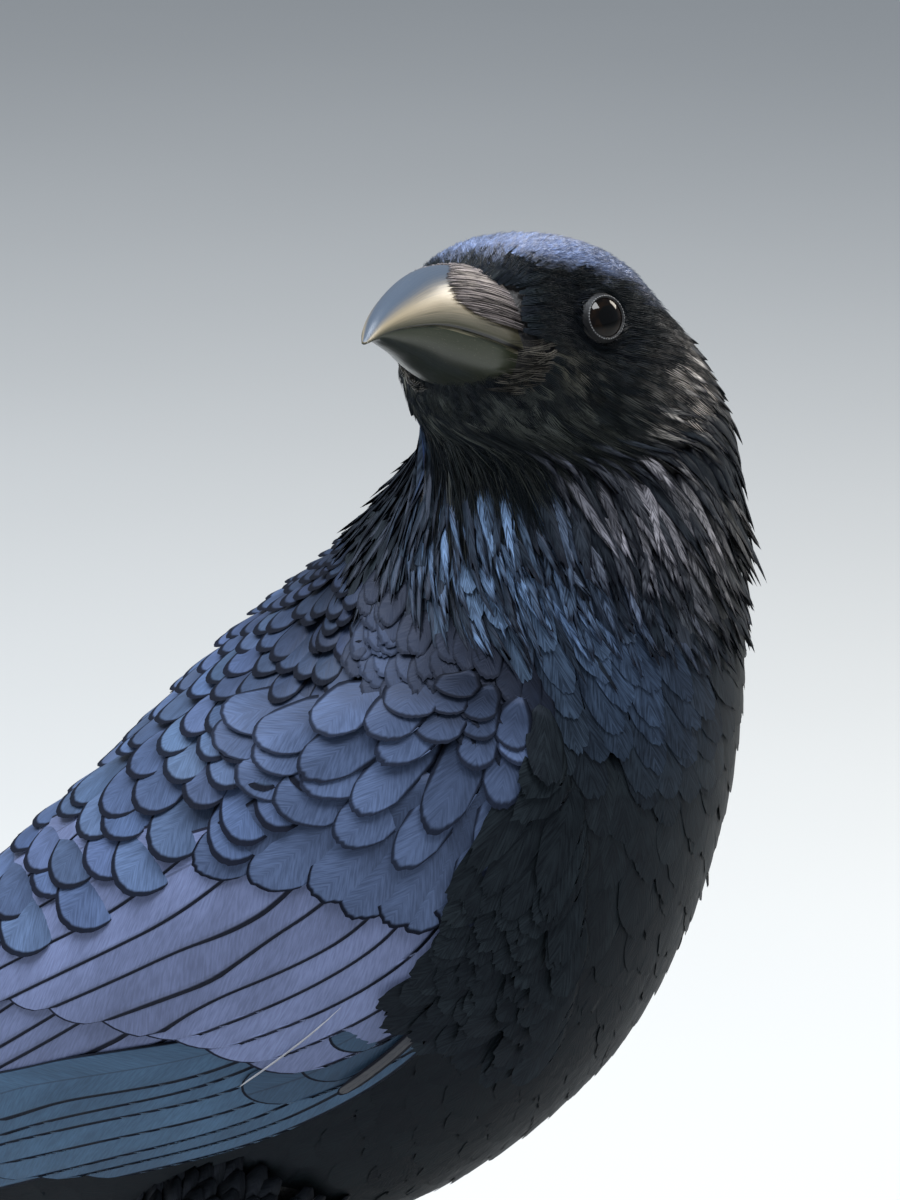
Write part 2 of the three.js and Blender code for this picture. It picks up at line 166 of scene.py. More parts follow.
def section(angle, half_width, above, below, power=2.0):
    """A rounded outline, angle 0 at its top: how far to the left and how far up."""
    side = bow(np.sin(angle), 2 / power) * half_width
    up = bow(np.cos(angle), 2 / power) * np.where(np.cos(angle) > 0, above, below)
    return side[..., None], up[..., None]


HEAD_FORWARD, HEAD_UP, HEAD_LEFT = axes(HEAD_YAW, HEAD_PITCH, HEAD_ROLL)


def in_head(side, forward, up):
    """Points given in the head's own axes."""
    side, forward, up = (np.asarray(v, float)[..., None] for v in (side, forward, up))
    return HEAD_CENTRE + side * HEAD_LEFT + forward * HEAD_FORWARD + up * HEAD_UP


def body_point(s, angle):
    """The outside of trunk and neck at a station, counted in rows, and an angle from the back."""
    row = blend(BODY, s)
    _, dorsal, left = axes(row[..., 4], row[..., 3])
    side, up = section(angle, row[..., 5], row[..., 6], row[..., 7])
    return row[..., :3] + side * left + up * dorsal


def face_hollow(side, forward, up):
    """Sinks the sides of the face in front of the eyes. Gives the new side."""
    along = (forward - HOLLOW_PLACE[0]) / HOLLOW_REACH[0]
    across = (up - HOLLOW_PLACE[1]) / HOLLOW_REACH[1]
    sink = FACE_HOLLOW * np.exp(-along * along - across * across)
    return side - np.sign(side) * sink * np.minimum(1, np.abs(side) / 8)


def head_point(s, angle):
    """The outside of the head, likewise."""
    row = blend(HEAD, s)
    side, up = section(angle, row[..., 2], row[..., 3], row[..., 4], HEAD_POWER)
    side, up = side[..., 0], up[..., 0] + row[..., 1]
    return in_head(face_hollow(side, row[..., 0], up), row[..., 0], up)


def wing_swell(u, v):
    """Rise and depth of the folded wing: nothing at its edges, all of it between them."""
    row = blend(WING, u)
    swell = np.sin(np.pi * np.clip(v, 0, 1)) ** 0.45
    return row[..., 8] * swell, row[..., 9] * swell


def wing_point(side, u, v, inner=False, edges=(0.0, 1.0)):
    """A point of the folded wing. Outside the two edges the wing keeps the thickness it has there."""
    row = blend(WING, u)
    rise, depth = wing_swell(u, np.clip(v, *edges))
    grow = -depth - TUCK if inner else rise + TUCK
    angle = np.radians(row[..., 6] + (row[..., 7] - row[..., 6]) * v)
    across, up = section(angle, row[..., 3] + grow, row[..., 4] + grow, row[..., 5] + grow)
    _, dorsal, left = axes(0 * u, row[..., 2])
    base = np.stack([0 * row[..., 0], row[..., 0], row[..., 1]], -1)
    return base + side * across * left + up * dorsal


def limb_point(rows, side, s, angle, grow=0.0):
    """The outside of a thigh or a shank on one side."""
    row = blend(rows, s)
    _, dorsal, left = axes(0 * row[..., 3], row[..., 3])
    across, up = section(angle, row[..., 4] + grow, row[..., 6] + grow, row[..., 5] + grow)
    base = np.stack([side * row[..., 0], row[..., 1], row[..., 2]], -1)
    return base + across * left + up * dorsal


TAIL_FORWARD, TAIL_UP, TAIL_LEFT = axes(180.0, -TAIL_PITCH)


def in_tail(side, back, up):
    """Points by the tail's own axes: side is to the bird's left, back runs along the feathers."""
    side, back, up = (np.asarray(v, float)[..., None] for v in (side, back, up))
    return TAIL_ROOT - side * TAIL_LEFT + back * TAIL_FORWARD + up * TAIL_UP


eye_low, eye_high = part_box("eye_left")
HOME = np.array((eye_low + eye_high) / 2) / MM - in_head(*EYE_PLACE)


def to_metres(points):
    """From the bird's own frame to the CAD frame."""
    return (np.asarray(points, float).reshape(-1, 3) + HOME) * MM


# ---- Meshes ----
def faces_of_grid(rows, columns):
    """Quads between closed rings of points."""
    i, j = np.meshgrid(np.arange(rows - 1), np.arange(columns), indexing="ij")
    a, b = i * columns + j, i * columns + (j + 1) % columns
    return np.stack([a, b, b + columns, a + columns], -1).reshape(-1, 4).tolist()


def tube_faces(rows, columns):
    """A closed tube, with one flat face at each end."""
    first, last = list(range(columns))[::-1], list(range((rows - 1) * columns, rows * columns))
    return faces_of_grid(rows, columns) + [first, last]


def put(name, data):
    """A new object in the scene."""
    made = bpy.data.objects.new(name, data)
    bpy.context.scene.collection.objects.link(made)
    return made


def shade_smooth(mesh):
    mesh.polygons.foreach_set("use_smooth", np.ones(len(mesh.polygons), bool))


def paint_uv(mesh, name, uv):
    """A UV map from one place per vertex."""
    corners = np.zeros(len(mesh.loops), np.int32)
    mesh.loops.foreach_get("vertex_index", corners)
    mesh.uv_layers.new(name=name).data.foreach_set("uv", uv[corners].ravel().astype(np.float32))


def solid(name, metres, faces, material=None, uv=None):
    """A smooth closed mesh whose faces are turned so that its volume is positive."""
    mesh = bpy.data.meshes.new(name)
    mesh.from_pydata(metres.reshape(-1, 3).tolist(), [], faces)
    mesh.update()
    shade_smooth(mesh)
    if uv is not None:
        paint_uv(mesh, "Vane", uv)
    work = bmesh.new()
    work.from_mesh(mesh)
    bmesh.ops.recalc_face_normals(work, faces=work.faces)
    if work.calc_volume(signed=True) < 0:
        bmesh.ops.reverse_faces(work, faces=work.faces)
    work.to_mesh(mesh)
    work.free()
    if material:
        mesh.materials.append(material)
    return put(name, mesh)


def facing(place, way, axis):
    """Stands something at a place in metres, with an axis of its own along the way."""
    return Matrix.Translation(Vector(place)) @ Vector(way).to_track_quat(axis, "Y").to_matrix().to_4x4()


def belongs(made, nodes=()):
    """Says what a piece rides on, and the CAD nodes that it stands in for."""
    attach(made, "root")
    if nodes:
        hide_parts(*nodes)
    return made


def surface_grid(point, s_values, angles):
    """The points of a surface, point(s, angle), at every pair of values."""
    return point(*np.meshgrid(s_values, angles, indexing="ij"))


def value_at(thing, p):
    """Takes what may be given as a plain value or as a function of p."""
    return thing(p) if callable(thing) else thing


# ---- Charts: surfaces on which feathers are laid ----
class Chart:
    """A surface sampled on an even grid of two coordinates, p and q. Feathers grow along p:
    flow is +1 or -1, and hand is the side on which a feather's across direction lies."""

    BEYOND = 12                       # how many cells the surface may be carried on past its ends

    def __init__(self, points, p_range, q_range, flow, hand):
        self.points, self.flow, self.hand = points, flow, hand
        self.low = np.array([p_range[0], q_range[0]], float)
        self.span = np.array([p_range[1] - p_range[0], q_range[1] - q_range[0]], float)
        self.cells = np.array(points.shape[:2]) - 1
        step = self.span / self.cells
        along = np.gradient(points, axis=0) / step[0]
        across = np.gradient(points, axis=1) / step[1]
        self.scales = np.stack([np.linalg.norm(along, axis=-1), np.linalg.norm(across, axis=-1)], -1)
        normal = np.cross(along, across) * (-flow * hand)
        self.normals = normal / np.maximum(np.linalg.norm(normal, axis=-1, keepdims=True), 1e-9)

    def look_up(self, field, p, q):
        g = (np.stack([p, q], -1) - self.low) / self.span * self.cells
        i = np.clip(np.floor(g).astype(int), 0, self.cells - 1)
        f = np.clip(g - i, -self.BEYOND, 1 + self.BEYOND)
        i, j, u, v = i[..., 0], i[..., 1], f[..., :1], f[..., 1:]
        return ((field[i, j] * (1 - u) + field[i + 1, j] * u) * (1 - v)
                + (field[i, j + 1] * (1 - u) + field[i + 1, j + 1] * u) * v)

    def place(self, p, q, height):
        normal = self.look_up(self.normals, p, q)
        normal = normal / np.linalg.norm(normal, axis=-1, keepdims=True)
        return self.look_up(self.points, p, q) + normal * height[..., None]

    def scale(self, p, q):
        return np.maximum(self.look_up(self.scales, p, q), 1e-3)


# The planes that fan along the trunk, round the throat and out along the head:
# x, y, z, pitch, yaw, roll and how far out the surface may be.
SHARED = 8                            # stations that the planes share with the trunk
SPINE = np.vstack([
    np.column_stack([BODY[:SHARED, :5], np.zeros(SHARED), [40, 50, 66, 80, 84, 82, 64, 50]]),
    [-2, -7, 253, 80, 68, -1, 40],
    [-8, -5, 261, 68, 82, -3, 36],
    [-14.5, -2, 267.5, 53, 89, -5, 36],
    [-20.5, 0, 272.5, 38, 92, -7, 34],
    [-26.5, 1.5, 277, HEAD_PITCH, HEAD_YAW, HEAD_ROLL, 32],
    [-33.5, 1.8, 280, HEAD_PITCH, HEAD_YAW, HEAD_ROLL, 28],
    [-40.5, 2.1, 283, HEAD_PITCH, HEAD_YAW, HEAD_ROLL, 24],
])
SPINE_END = len(SPINE) - 1
S_STEP, ANGLE_STEP = 0.1, 3.0
FILLET = 5.0                          # how widely head and neck run into each other
CLEFT = 15.0                          # half the angle of the widest hollow that feathers bridge


def tree_of(grid):
    rows, columns = grid.shape[:2]
    points = grid.reshape(-1, 3)
    return BVHTree.FromPolygons(points.tolist(), tube_faces(rows, columns))


def outer_reach(tree, origin, direction, reach):
    """How far from the origin the surface is, seen from outside. 0 if the ray meets nothing."""
    start = Vector(origin + direction * reach)
    hit = tree.ray_cast(start, Vector(-direction), float(reach))
    return reach - hit[3] if hit[0] is not None else 0.0


def wing_ring_grid(side, u, v):
    """Rings round a folded wing: over its outer face and back along its inner one."""
    outer = surface_grid(lambda a, b: wing_point(side, a, b), u, v)
    inner = surface_grid(lambda a, b: wing_point(side, a, b, inner=True), u, v[::-1])
    return np.concatenate([outer, inner], 1)


def shut_clefts(radius, reach):
    """Bridges the hollows round the trunk that are narrower than twice the reach, in columns."""
    turns = range(-reach, reach + 1)
    over = np.max([np.roll(radius, k, 1) for k in turns], axis=0)
    return np.min([np.roll(over, k, 1) for k in turns], axis=0)


def coat_chart(with_wings):
    """The outside of the coat, from the bill's base to the tail, as one chart of station and angle."""
    turn = np.radians(np.arange(0, 360, 12))
    lofts = [
        tree_of(surface_grid(body_point, np.linspace(0, len(BODY) - 1, 61), turn)),
        tree_of(surface_grid(head_point, np.linspace(0, len(HEAD) - 1, 49), turn)),
    ]
    if with_wings:
        u, v = np.linspace(0, len(WING) - 1, 55), np.linspace(0, 1, 25)
        lofts += [tree_of(wing_ring_grid(side, u, v)) for side in (1, -1)]
    s = np.linspace(0, SPINE_END, round(SPINE_END / S_STEP) + 1)
    angles = np.radians(np.arange(0, 360, ANGLE_STEP))
    row = blend(SPINE, s)
    _, dorsal, left = axes(row[:, 4], row[:, 3], row[:, 5])
    radius = np.zeros((len(s), len(angles)))
    ways = np.zeros((len(s), len(angles), 3))
    for i in range(len(s)):
        for j, angle in enumerate(angles):
            way = math.cos(angle) * dorsal[i] + math.sin(angle) * left[i]
            reach = [outer_reach(tree, row[i, :3], way, row[i, 6]) for tree in lofts]
            near = max(0.0, FILLET - abs(reach[0] - reach[1])) / FILLET
            radius[i, j] = max(reach) + near**3 * FILLET / 6
            ways[i, j] = way
    if with_wings:
        radius = shut_clefts(radius, round(CLEFT / ANGLE_STEP))
    for _ in range(6 if with_wings else 3):
        radius = (np.roll(radius, 1, 1) + 2 * radius + np.roll(radius, -1, 1)) / 4
        radius[1:-1] = (radius[:-2] + 2 * radius[1:-1] + radius[2:]) / 4
    points = row[:, None, :3] + radius[..., None] * ways
    turns = np.concatenate([points, points, points[:, :1]], 1)
    return Chart(turns, (0, SPINE_END), (0, 4 * np.pi), flow=-1, hand=1)


WING_EDGES = (0.03, 0.5)              # outside these the wing chart keeps its thickness, and has no corner
TAIL_HALF_CHART, TAIL_END = 34.0, 1.02


def wing_chart(side):
    """The outer face of a folded wing: station, and place from its top edge down to its low one."""
    v_range = (-0.6, 1.25)
    points = surface_grid(lambda u, v: wing_point(side, u, v, edges=WING_EDGES),
                          np.linspace(0, len(WING) - 1, 91), np.linspace(*v_range, 75))
    return Chart(points, (0, len(WING) - 1), v_range, flow=1, hand=side)


def tail_chart(layer):
    """The top (+1) or underside (-1) of the closed tail: distance back and side."""
    def surface(t, side):
        half = 4.5 + (1.0 - 4.5) * t**0.7
        up = layer * (half - 0.6) - TAIL_CROWN * (side / TAIL_HALF_TIP) ** 2
        return in_tail(side, t * TAIL_LENGTH, up)

    q_range = (-TAIL_HALF_CHART, TAIL_HALF_CHART)
    points = surface_grid(surface, np.linspace(0, TAIL_END, 41), np.linspace(*q_range, 35))
    return Chart(points, (0, TAIL_END), q_range, flow=1, hand=layer)


def limb_chart(rows, side):
    """Round a limb twice, so that feathers can lie over its seam."""
    points = surface_grid(lambda s, a: limb_point(rows, side, s, a),
                          np.linspace(0, len(rows) - 1, 41), np.linspace(0, 4 * np.pi, 121))
    return Chart(points, (0, len(rows) - 1), (0, 4 * np.pi), flow=1, hand=-1)


# ---- Feather shapes ----
class Shape:
    """A feather or tuft of unit size. Each vertex has x across from -1 to 1, y along from 0 to 1,
    z thickness from 0 to 1, u and v on the vane, the column and tip that say which vertices grow
    ragged together and how much, and how far in it lies from the side, in widths, and from the
    end, in lengths."""

    KEYS = ("x", "y", "z", "u", "v", "column", "tip", "in_side", "in_end")
    FAR_IN = 99.0

    def __init__(self):
        self.rows, self.faces = [], []

    def vertex(self, x, y, z, u, v, column=0, tip=0.0, in_side=FAR_IN, in_end=FAR_IN):
        self.rows.append((x, y, z, u, v, column, tip, in_side, in_end))
        return len(self.rows) - 1

    def done(self):
        for key, values in zip(self.KEYS, np.array(self.rows, float).T):
            setattr(self, key, values)
        self.column = self.column.astype(int)
        self.faces = np.array(self.faces, int)
        return self


def strand(shape, path, half, rows, column):
    """One thin closed barb along path(v) -> (x, y): a lens with a ridge, ending in a point."""
    previous = None
    for r in range(rows):
        v = r / rows
        x, y = path(v)
        wide = half * (1 - 0.75 * v * v)
        left = shape.vertex(x - wide, y, 0.2, 0.0, v, column, v**3)
        ridge = shape.vertex(x, y, 1.0, 0.5, v, column, v**3)
        right = shape.vertex(x + wide, y, 0.2, 1.0, v, column, v**3)
        if previous is not None:
            a, b, c = previous
            shape.faces += [(a, b, ridge), (a, ridge, left), (b, c, right), (b, right, ridge)]
            shape.faces += [(c, a, left), (c, left, right)]
        previous = (left, ridge, right)
    left, ridge, right = previous
    tip = shape.vertex(*path(1.0), 0.3, 0.5, 1.0, column, 1.0)
    shape.faces += [(left, ridge, tip), (ridge, right, tip), (right, left, tip)]


def hair_tuft(strands, rows, half, seed, point=0.5):
    """A loose lock of barbs, fanned a little."""
    rng = np.random.default_rng(seed)
    shape = Shape()
    for k in range(strands):
        place = (k + 0.5) / strands * 2 - 1 if strands > 1 else 0.0
        reach = 1 - point * place * place * rng.uniform(0.5, 1.0)
        bend = rng.uniform(-0.25, 0.25)

        def path(v, place=place, reach=reach, bend=bend):
            return place * (0.45 + 0.55 * math.sin(min(1.0, v * 1.3) * math.pi / 2)) + bend * v * v, v * reach

        strand(shape, path, half, rows, k)
    return shape.done()


KEEL = -0.35                          # how deep a vane's underside is, in thicknesses


def vane(columns, rows, profile, end):
    """A closed vane: columns of barbs that end in a ragged edge, over a shallow keel. profile(v) is
    the half width, end(x) the length of the column that lies x across."""
    shape = Shape()
    top = []
    for r in range(rows + 1):
        v = r / rows
        line = []
        for c in range(columns):
            x = c / (columns - 1) * 2 - 1
            y = v * end(x)
            z = 1 - abs(x) ** 2.2
            wide = profile(v)
            inside = ((1 - abs(x)) * wide, end(x) - y)
            line.append(shape.vertex(x * wide, y, z, (x + 1) / 2, v, c, v**6, *inside))
        top.append(line)
    for r in range(rows):
        for c in range(columns - 1):
            a, b, d, e = top[r][c], top[r][c + 1], top[r + 1][c], top[r + 1][c + 1]
            shape.faces += [(a, b, e), (a, e, d)]
    keel = [shape.vertex(0, end(0) * min(r, rows - 0.7) / rows, KEEL, 0.5, r / rows) for r in range(rows + 1)]
    for r in range(rows):
        a, b, d, e, s, k = top[r][0], top[r][-1], top[r + 1][0], top[r + 1][-1], keel[r], keel[r + 1]
        shape.faces += [(s, a, d), (s, d, k), (b, s, k), (b, k, e)]
    for c in range(columns - 1):
        shape.faces.append((top[rows][c + 1], top[rows][c], keel[rows]))
        shape.faces.append((keel[0], top[0][c + 1], top[0][c]))
    return shape.done()


def widening(narrow, quick):
    """A half width that grows from narrow to 1 over the first part of the vane."""
    return lambda v: narrow + (1 - narrow) * math.sin(min(1.0, v * quick) * math.pi / 2)


def round_end(roundness):
    """An end whose sides lie back by a share of the feather's length."""
    return lambda x: 1 - roundness * (1 - math.sqrt(max(0.0, 1 - x * x)))


def scale_vane(columns, rows, roundness=0.3):
    """A round-ended body feather with a ragged edge."""
    return vane(columns, rows, widening(0.3, 1.7), round_end(roundness))


def lance_vane(columns, rows):
    """A pointed neck feather, split into barbs near its end."""
    wide = widening(0.25, 1.5)
    return vane(columns, rows, lambda v: wide(v) - 0.45 * max(0.0, v - 0.55),
                lambda x: 1 - 0.55 * abs(x) ** 1.25)


def blade_vane(columns, rows, roundness=0.08, narrow=0.5):
    """A long flight or tail feather with a clean round end."""
    return vane(columns, rows, widening(narrow, 2.2), round_end(roundness))


# ---- Laying feathers ----
def wander(p, q, seed, pitch=1.0):
    """A smooth random field of about -1 to 1."""
    rng = np.random.default_rng(seed)
    total = 0
    for _ in range(5):
        a, b = rng.normal(0, 1.6 / pitch, 2)
        total = total + np.sin(a * p + b * q + rng.uniform(0, 2 * np.pi))
    return total / 3


class Coat:
    """Collects feathers, and makes them into pieces under the triangle limit."""

    LIMIT = 190_000                   # triangles in one piece
    PATCH = 0.003                     # how wide a feather's patch of the bake map is
    MARGIN = 0.01

    def __init__(self, name, slot, material, nodes=()):
        self.name, self.slot, self.material, self.nodes = name, slot, material, nodes
        self.batches = []

    def add(self, chart, shape, start, end, width, lift, tint, rng, thick=0.25, ragged=0.06,
            barb_angle=35.0, fringe=1.0, curl=0.0, push=None):
        """start and end are (p, q) of the roots and tips; width is half a feather's width, lift the
        height at root and tip, and push(points, ground) may move the points."""
        p0, q0, p1, q1 = (np.broadcast_to(np.asarray(v, float), np.shape(start[0]))[:, None]
                          for v in (*start, *end))
        count = len(p0)
        width = np.broadcast_to(np.asarray(width, float), (count,))[:, None]
        lift0, lift1 = (np.broadcast_to(np.asarray(v, float), (count,))[:, None] for v in lift)
        columns = shape.column.max() + 1
        rag = rng.normal(0, ragged, (count, columns))[:, shape.column] * shape.tip
        along = np.maximum(shape.y + rag, 0)
        p, q = p0 + (p1 - p0) * along, q0 + (q1 - q0) * along
        size = chart.scale(p, q)
        root_size = chart.scale((p0 + p1) / 2, (q0 + q1) / 2)
        way = np.concatenate([(p1 - p0) * root_size[..., 0], (q1 - q0) * root_size[..., 1]], 1)
        length = np.linalg.norm(way, axis=1, keepdims=True)
        way = way / np.maximum(length, 1e-6)
        across = shape.x * width * chart.hand
        p = p - chart.flow * way[:, 1:] * across / size[..., 0]
        q = q + chart.flow * way[:, :1] * across / size[..., 1]
        height = lift0 + (lift1 - lift0) * along + shape.z * thick + curl * along**3
        points = chart.place(p, q, height)
        if push is not None:
            points = push(points, chart.place(p, q, np.zeros_like(p)))
        # Barb holds millimetres across and along the barbs, from a place of each feather's own.
        beta = math.radians(barb_angle)
        x_mm, y_mm = np.abs(shape.x) * width, along * length
        seed = rng.uniform(0, 400, (count, 1))
        if barb_angle:
            off_barb = (y_mm - x_mm / math.tan(beta)) * math.sin(beta)
            barb = np.stack([off_barb + seed, x_mm / math.sin(beta)], -1)
        else:
            barb = np.stack([shape.x * width + seed, y_mm + 0 * seed], -1)
        tint = np.broadcast_to(np.asarray(tint, float), (count, 3))
        colour = np.concatenate([tint, np.full((count, 1), fringe)], 1)
        self.batches.append({
            "points": points, "faces": shape.faces, "barb": barb,
            "vane": np.broadcast_to(np.stack([shape.u, shape.v], -1), (count, len(shape.u), 2)),
            "edge": np.stack([shape.in_side * width, shape.in_end * length], -1),
            "root": np.stack([p0[:, 0], q0[:, 0]], -1),
            "local": np.stack([shape.x * 0.5, shape.y - 0.5], -1),
            "colour": np.broadcast_to(colour[:, None], (count, len(shape.u), 4)),
        })

    def build(self):
        """Joins the batches into as few pieces as the limit allows."""
        groups, room = [[]], self.LIMIT
        for b in self.batches:
            start = 0
            while start < len(b["points"]):
                fit = room // len(b["faces"])
                if fit < 1:
                    groups.append([])
                    room = self.LIMIT
                    continue
                stop = min(len(b["points"]), start + fit)
                part = {k: (v if k in ("faces", "local") else v[start:stop]) for k, v in b.items()}
                groups[-1].append(part)
                room -= (stop - start) * len(b["faces"])
                start = stop
        for n, group in enumerate(g for g in groups if g):
            self.piece(self.name if len(groups) == 1 else f"{self.name}_{n + 1}", group)

    def piece(self, name, group):
        roots = np.concatenate([b["root"] for b in group])
        low, span = roots.min(0), np.maximum(np.ptp(roots, axis=0), 1e-6)
        stores = {key: [] for key in ("points", "barb", "vane", "edge", "colour", "bake", "faces")}
        total = 0
        for b in group:
            count, size = b["points"].shape[:2]
            home = self.MARGIN + (1 - 2 * self.MARGIN) * (b["root"] - low) / span
            stores["bake"].append((home[:, None] + b["local"] * self.PATCH).reshape(-1, 2))
            for key in ("points", "barb", "vane", "edge", "colour"):
                stores[key].append(b[key].reshape(count * size, -1))
            shift = total + size * np.arange(count)[:, None, None]
            stores["faces"].append((b["faces"][None] + shift).reshape(-1, 3))
            total += count * size
        data = {k: np.concatenate(v) for k, v in stores.items()}
        faces = data["faces"]
        mesh = bpy.data.meshes.new(name)
        mesh.vertices.add(total)
        mesh.vertices.foreach_set("co", to_metres(data["points"]).ravel().astype(np.float32))
        mesh.loops.add(faces.size)
        mesh.loops.foreach_set("vertex_index", faces.ravel().astype(np.int32))
        mesh.polygons.add(len(faces))
        mesh.polygons.foreach_set("loop_start", np.arange(0, faces.size, 3, dtype=np.int32))
        shade_smooth(mesh)
        for label, key in (("OFBake", "bake"), ("Vane", "vane"), ("Barb", "barb"), ("Edge", "edge")):
            layer = mesh.uv_layers.new(name=label)
            layer.data.foreach_set("uv", data[key][faces.ravel()].ravel().astype(np.float32))
        tints = mesh.attributes.new("Tint", "FLOAT_COLOR", "POINT")
        tints.data.foreach_set("color", data["colour"].ravel().astype(np.float32))
        mesh.update()
        mesh.validate()
        mesh.materials.append(self.material)
        belongs(put(name, mesh), self.nodes)


def quincunx(chart, p_range, q_range, step_p, step_q, rng, jitter):
    """Roots in staggered rows over a patch of a chart. The steps are millimetres, and they and the
    range of q may be functions of p."""
    roots = []
    p, row = p_range[0], 0
    while p < p_range[1]:
        q, stop = value_at(q_range, p)
        gap = value_at(step_q, p)
        middle = chart.scale(np.array([p]), np.array([(q + stop) / 2]))[0]
        while q < stop:
            wide = chart.scale(np.array([p]), np.array([q]))[0, 1]
            roots.append((p, q + 0.5 * (row % 2) * gap / wide))
            q += gap / wide
        p += value_at(step_p, p) / middle[0]
        row += 1
    roots = np.array(roots)
    spread = np.array([value_at(step_p, roots[0, 0]), value_at(step_q, roots[0, 0])])
    roots += rng.uniform(-jitter, jitter, roots.shape) * spread / chart.scale(*roots.T)
    return roots[:, 0], roots[:, 1]


def scatter(chart, p_range, q_range, spacing, rng, tries=10):
    """Roots strewn at random over a patch of a chart, no two of them closer than spacing, in
    millimetres. q_range may be a function of p."""
    count = 4000
    while True:
        p = rng.uniform(*p_range, count)
        low, high = value_at(q_range, p)
        q = low + (high - low) * rng.uniform(0, 1, count)
        size = chart.scale(p, q)
        weight = size[:, 0] * size[:, 1] * (high - low) / spacing**2
        wanted = tries * weight.mean() * (p_range[1] - p_range[0])
        if count >= wanted * weight.max() / weight.mean():
            break
        count = int(wanted * weight.max() / weight.mean()) + 1
    likely = rng.uniform(0, 1, count) < weight / weight.max()
    p, q = p[likely], q[likely]
    points = chart.place(p, q, np.zeros_like(p))
    homes = np.floor(points / spacing).astype(int).tolist()
    steps = list(itertools.product((-1, 0, 1), repeat=3))
    taken, kept = {}, []
    for n, ((a, b, c), (x, y, z)) in enumerate(zip(homes, points.tolist())):
        near = (other for i, j, k in steps for other in taken.get((a + i, b + j, c + k), ()))
        if all((x - o[0]) ** 2 + (y - o[1]) ** 2 + (z - o[2]) ** 2 >= spacing**2 for o in near):
            taken.setdefault((a, b, c), []).append((x, y, z))
            kept.append(n)
    return p[kept], q[kept]


def tips(chart, p, q, length, turn):
    """Where feathers of a length end that leave the flow by turn degrees."""
    size = chart.scale(p, q)
    angle = np.radians(turn)
    return p + chart.flow * length * np.cos(angle) / size[:, 0], q + length * np.sin(angle) / size[:, 1]


# ---- Materials ----
def rgba(value):
    """A colour of three numbers gets its fourth. Anything else stays as it is."""
    return (*value, 1.0) if isinstance(value, tuple) and len(value) == 3 else value


class Nodes:
    """Short ways to add shader nodes to one new material."""

    def __init__(self, name):
        self.made = bpy.data.materials.new(name)
        self.made.use_nodes = True
        self.tree = self.made.node_tree
        self.shader = self.tree.nodes["Principled BSDF"]

    def add(self, kind, **values):
        node = self.tree.nodes.new(kind)
        for key, value in values.items():
            setattr(node, key, value)
        return node

    def link(self, source, target):
        self.tree.links.new(source, target)

    def fill(self, socket, value):
        if isinstance(value, (int, float, tuple)):
            socket.default_value = value
        else:
            self.link(value, socket)

    def math(self, operation, *values, clamp=False):
        node = self.add("ShaderNodeMath", operation=operation, use_clamp=clamp)
        for socket, value in zip(node.inputs, values):
            self.fill(socket, value)
        return node.outputs[0]

    def ramp(self, value, low, high, out_low=0.0, out_high=1.0):
        node = self.add("ShaderNodeMapRange", interpolation_type="SMOOTHSTEP")
        self.fill(node.inputs[0], value)
        for socket, number in zip(node.inputs[1:5], (low, high, out_low, out_high)):
            self.fill(socket, number)
        return node.outputs[0]

    def mix(self, share, a, b, way="MIX"):
        node = self.add("ShaderNodeMix", data_type="RGBA", blend_type=way)
        for place, value in ((0, share), (6, a), (7, b)):
            self.fill(node.inputs[place], rgba(value))
        return node.outputs[2]

    def noise(self, vector, scale, detail=3.0, rough=0.5):
        node = self.add("ShaderNodeTexNoise")
        for key, value in (("Vector", vector), ("Scale", scale), ("Detail", detail), ("Roughness", rough)):
            self.fill(node.inputs[key], value)
        return node.outputs[0]

    def stretched(self, source, stretch):
        node = self.add("ShaderNodeMapping")
        self.link(source, node.inputs["Vector"])
        node.inputs["Scale"].default_value = stretch
        return node.outputs[0]

    def uv(self, label, stretch=(1.0, 1.0, 1.0)):
        return self.stretched(self.add("ShaderNodeUVMap", uv_map=label).outputs[0], stretch)

    def place(self, stretch=(1.0, 1.0, 1.0)):
        return self.stretched(self.add("ShaderNodeTexCoord").outputs["Object"], stretch)

    def parts(self, vector):
        node = self.add("ShaderNodeSeparateXYZ")
        self.link(vector, node.inputs[0])
        return node.outputs

    def bump(self, height, strength, depth):
        node = self.add("ShaderNodeBump")
        for key, value in (("Strength", strength), ("Distance", depth), ("Height", height)):
            self.fill(node.inputs[key], value)
        self.link(node.outputs[0], self.shader.inputs["Normal"])

    def finish(self, **values):
        for key, value in values.items():
            self.fill(self.shader.inputs[key.replace("_", " ")], rgba(value))
        return self.made


BARB_PITCH = 0.32                     # millimetres between the streaks that barbs make
FRINGE_SHADE = (0.04, 0.04, 0.05)
SHAFT_HALF = (0.008, 0.025)           # how wide the shaft's line is, as a share of the vane


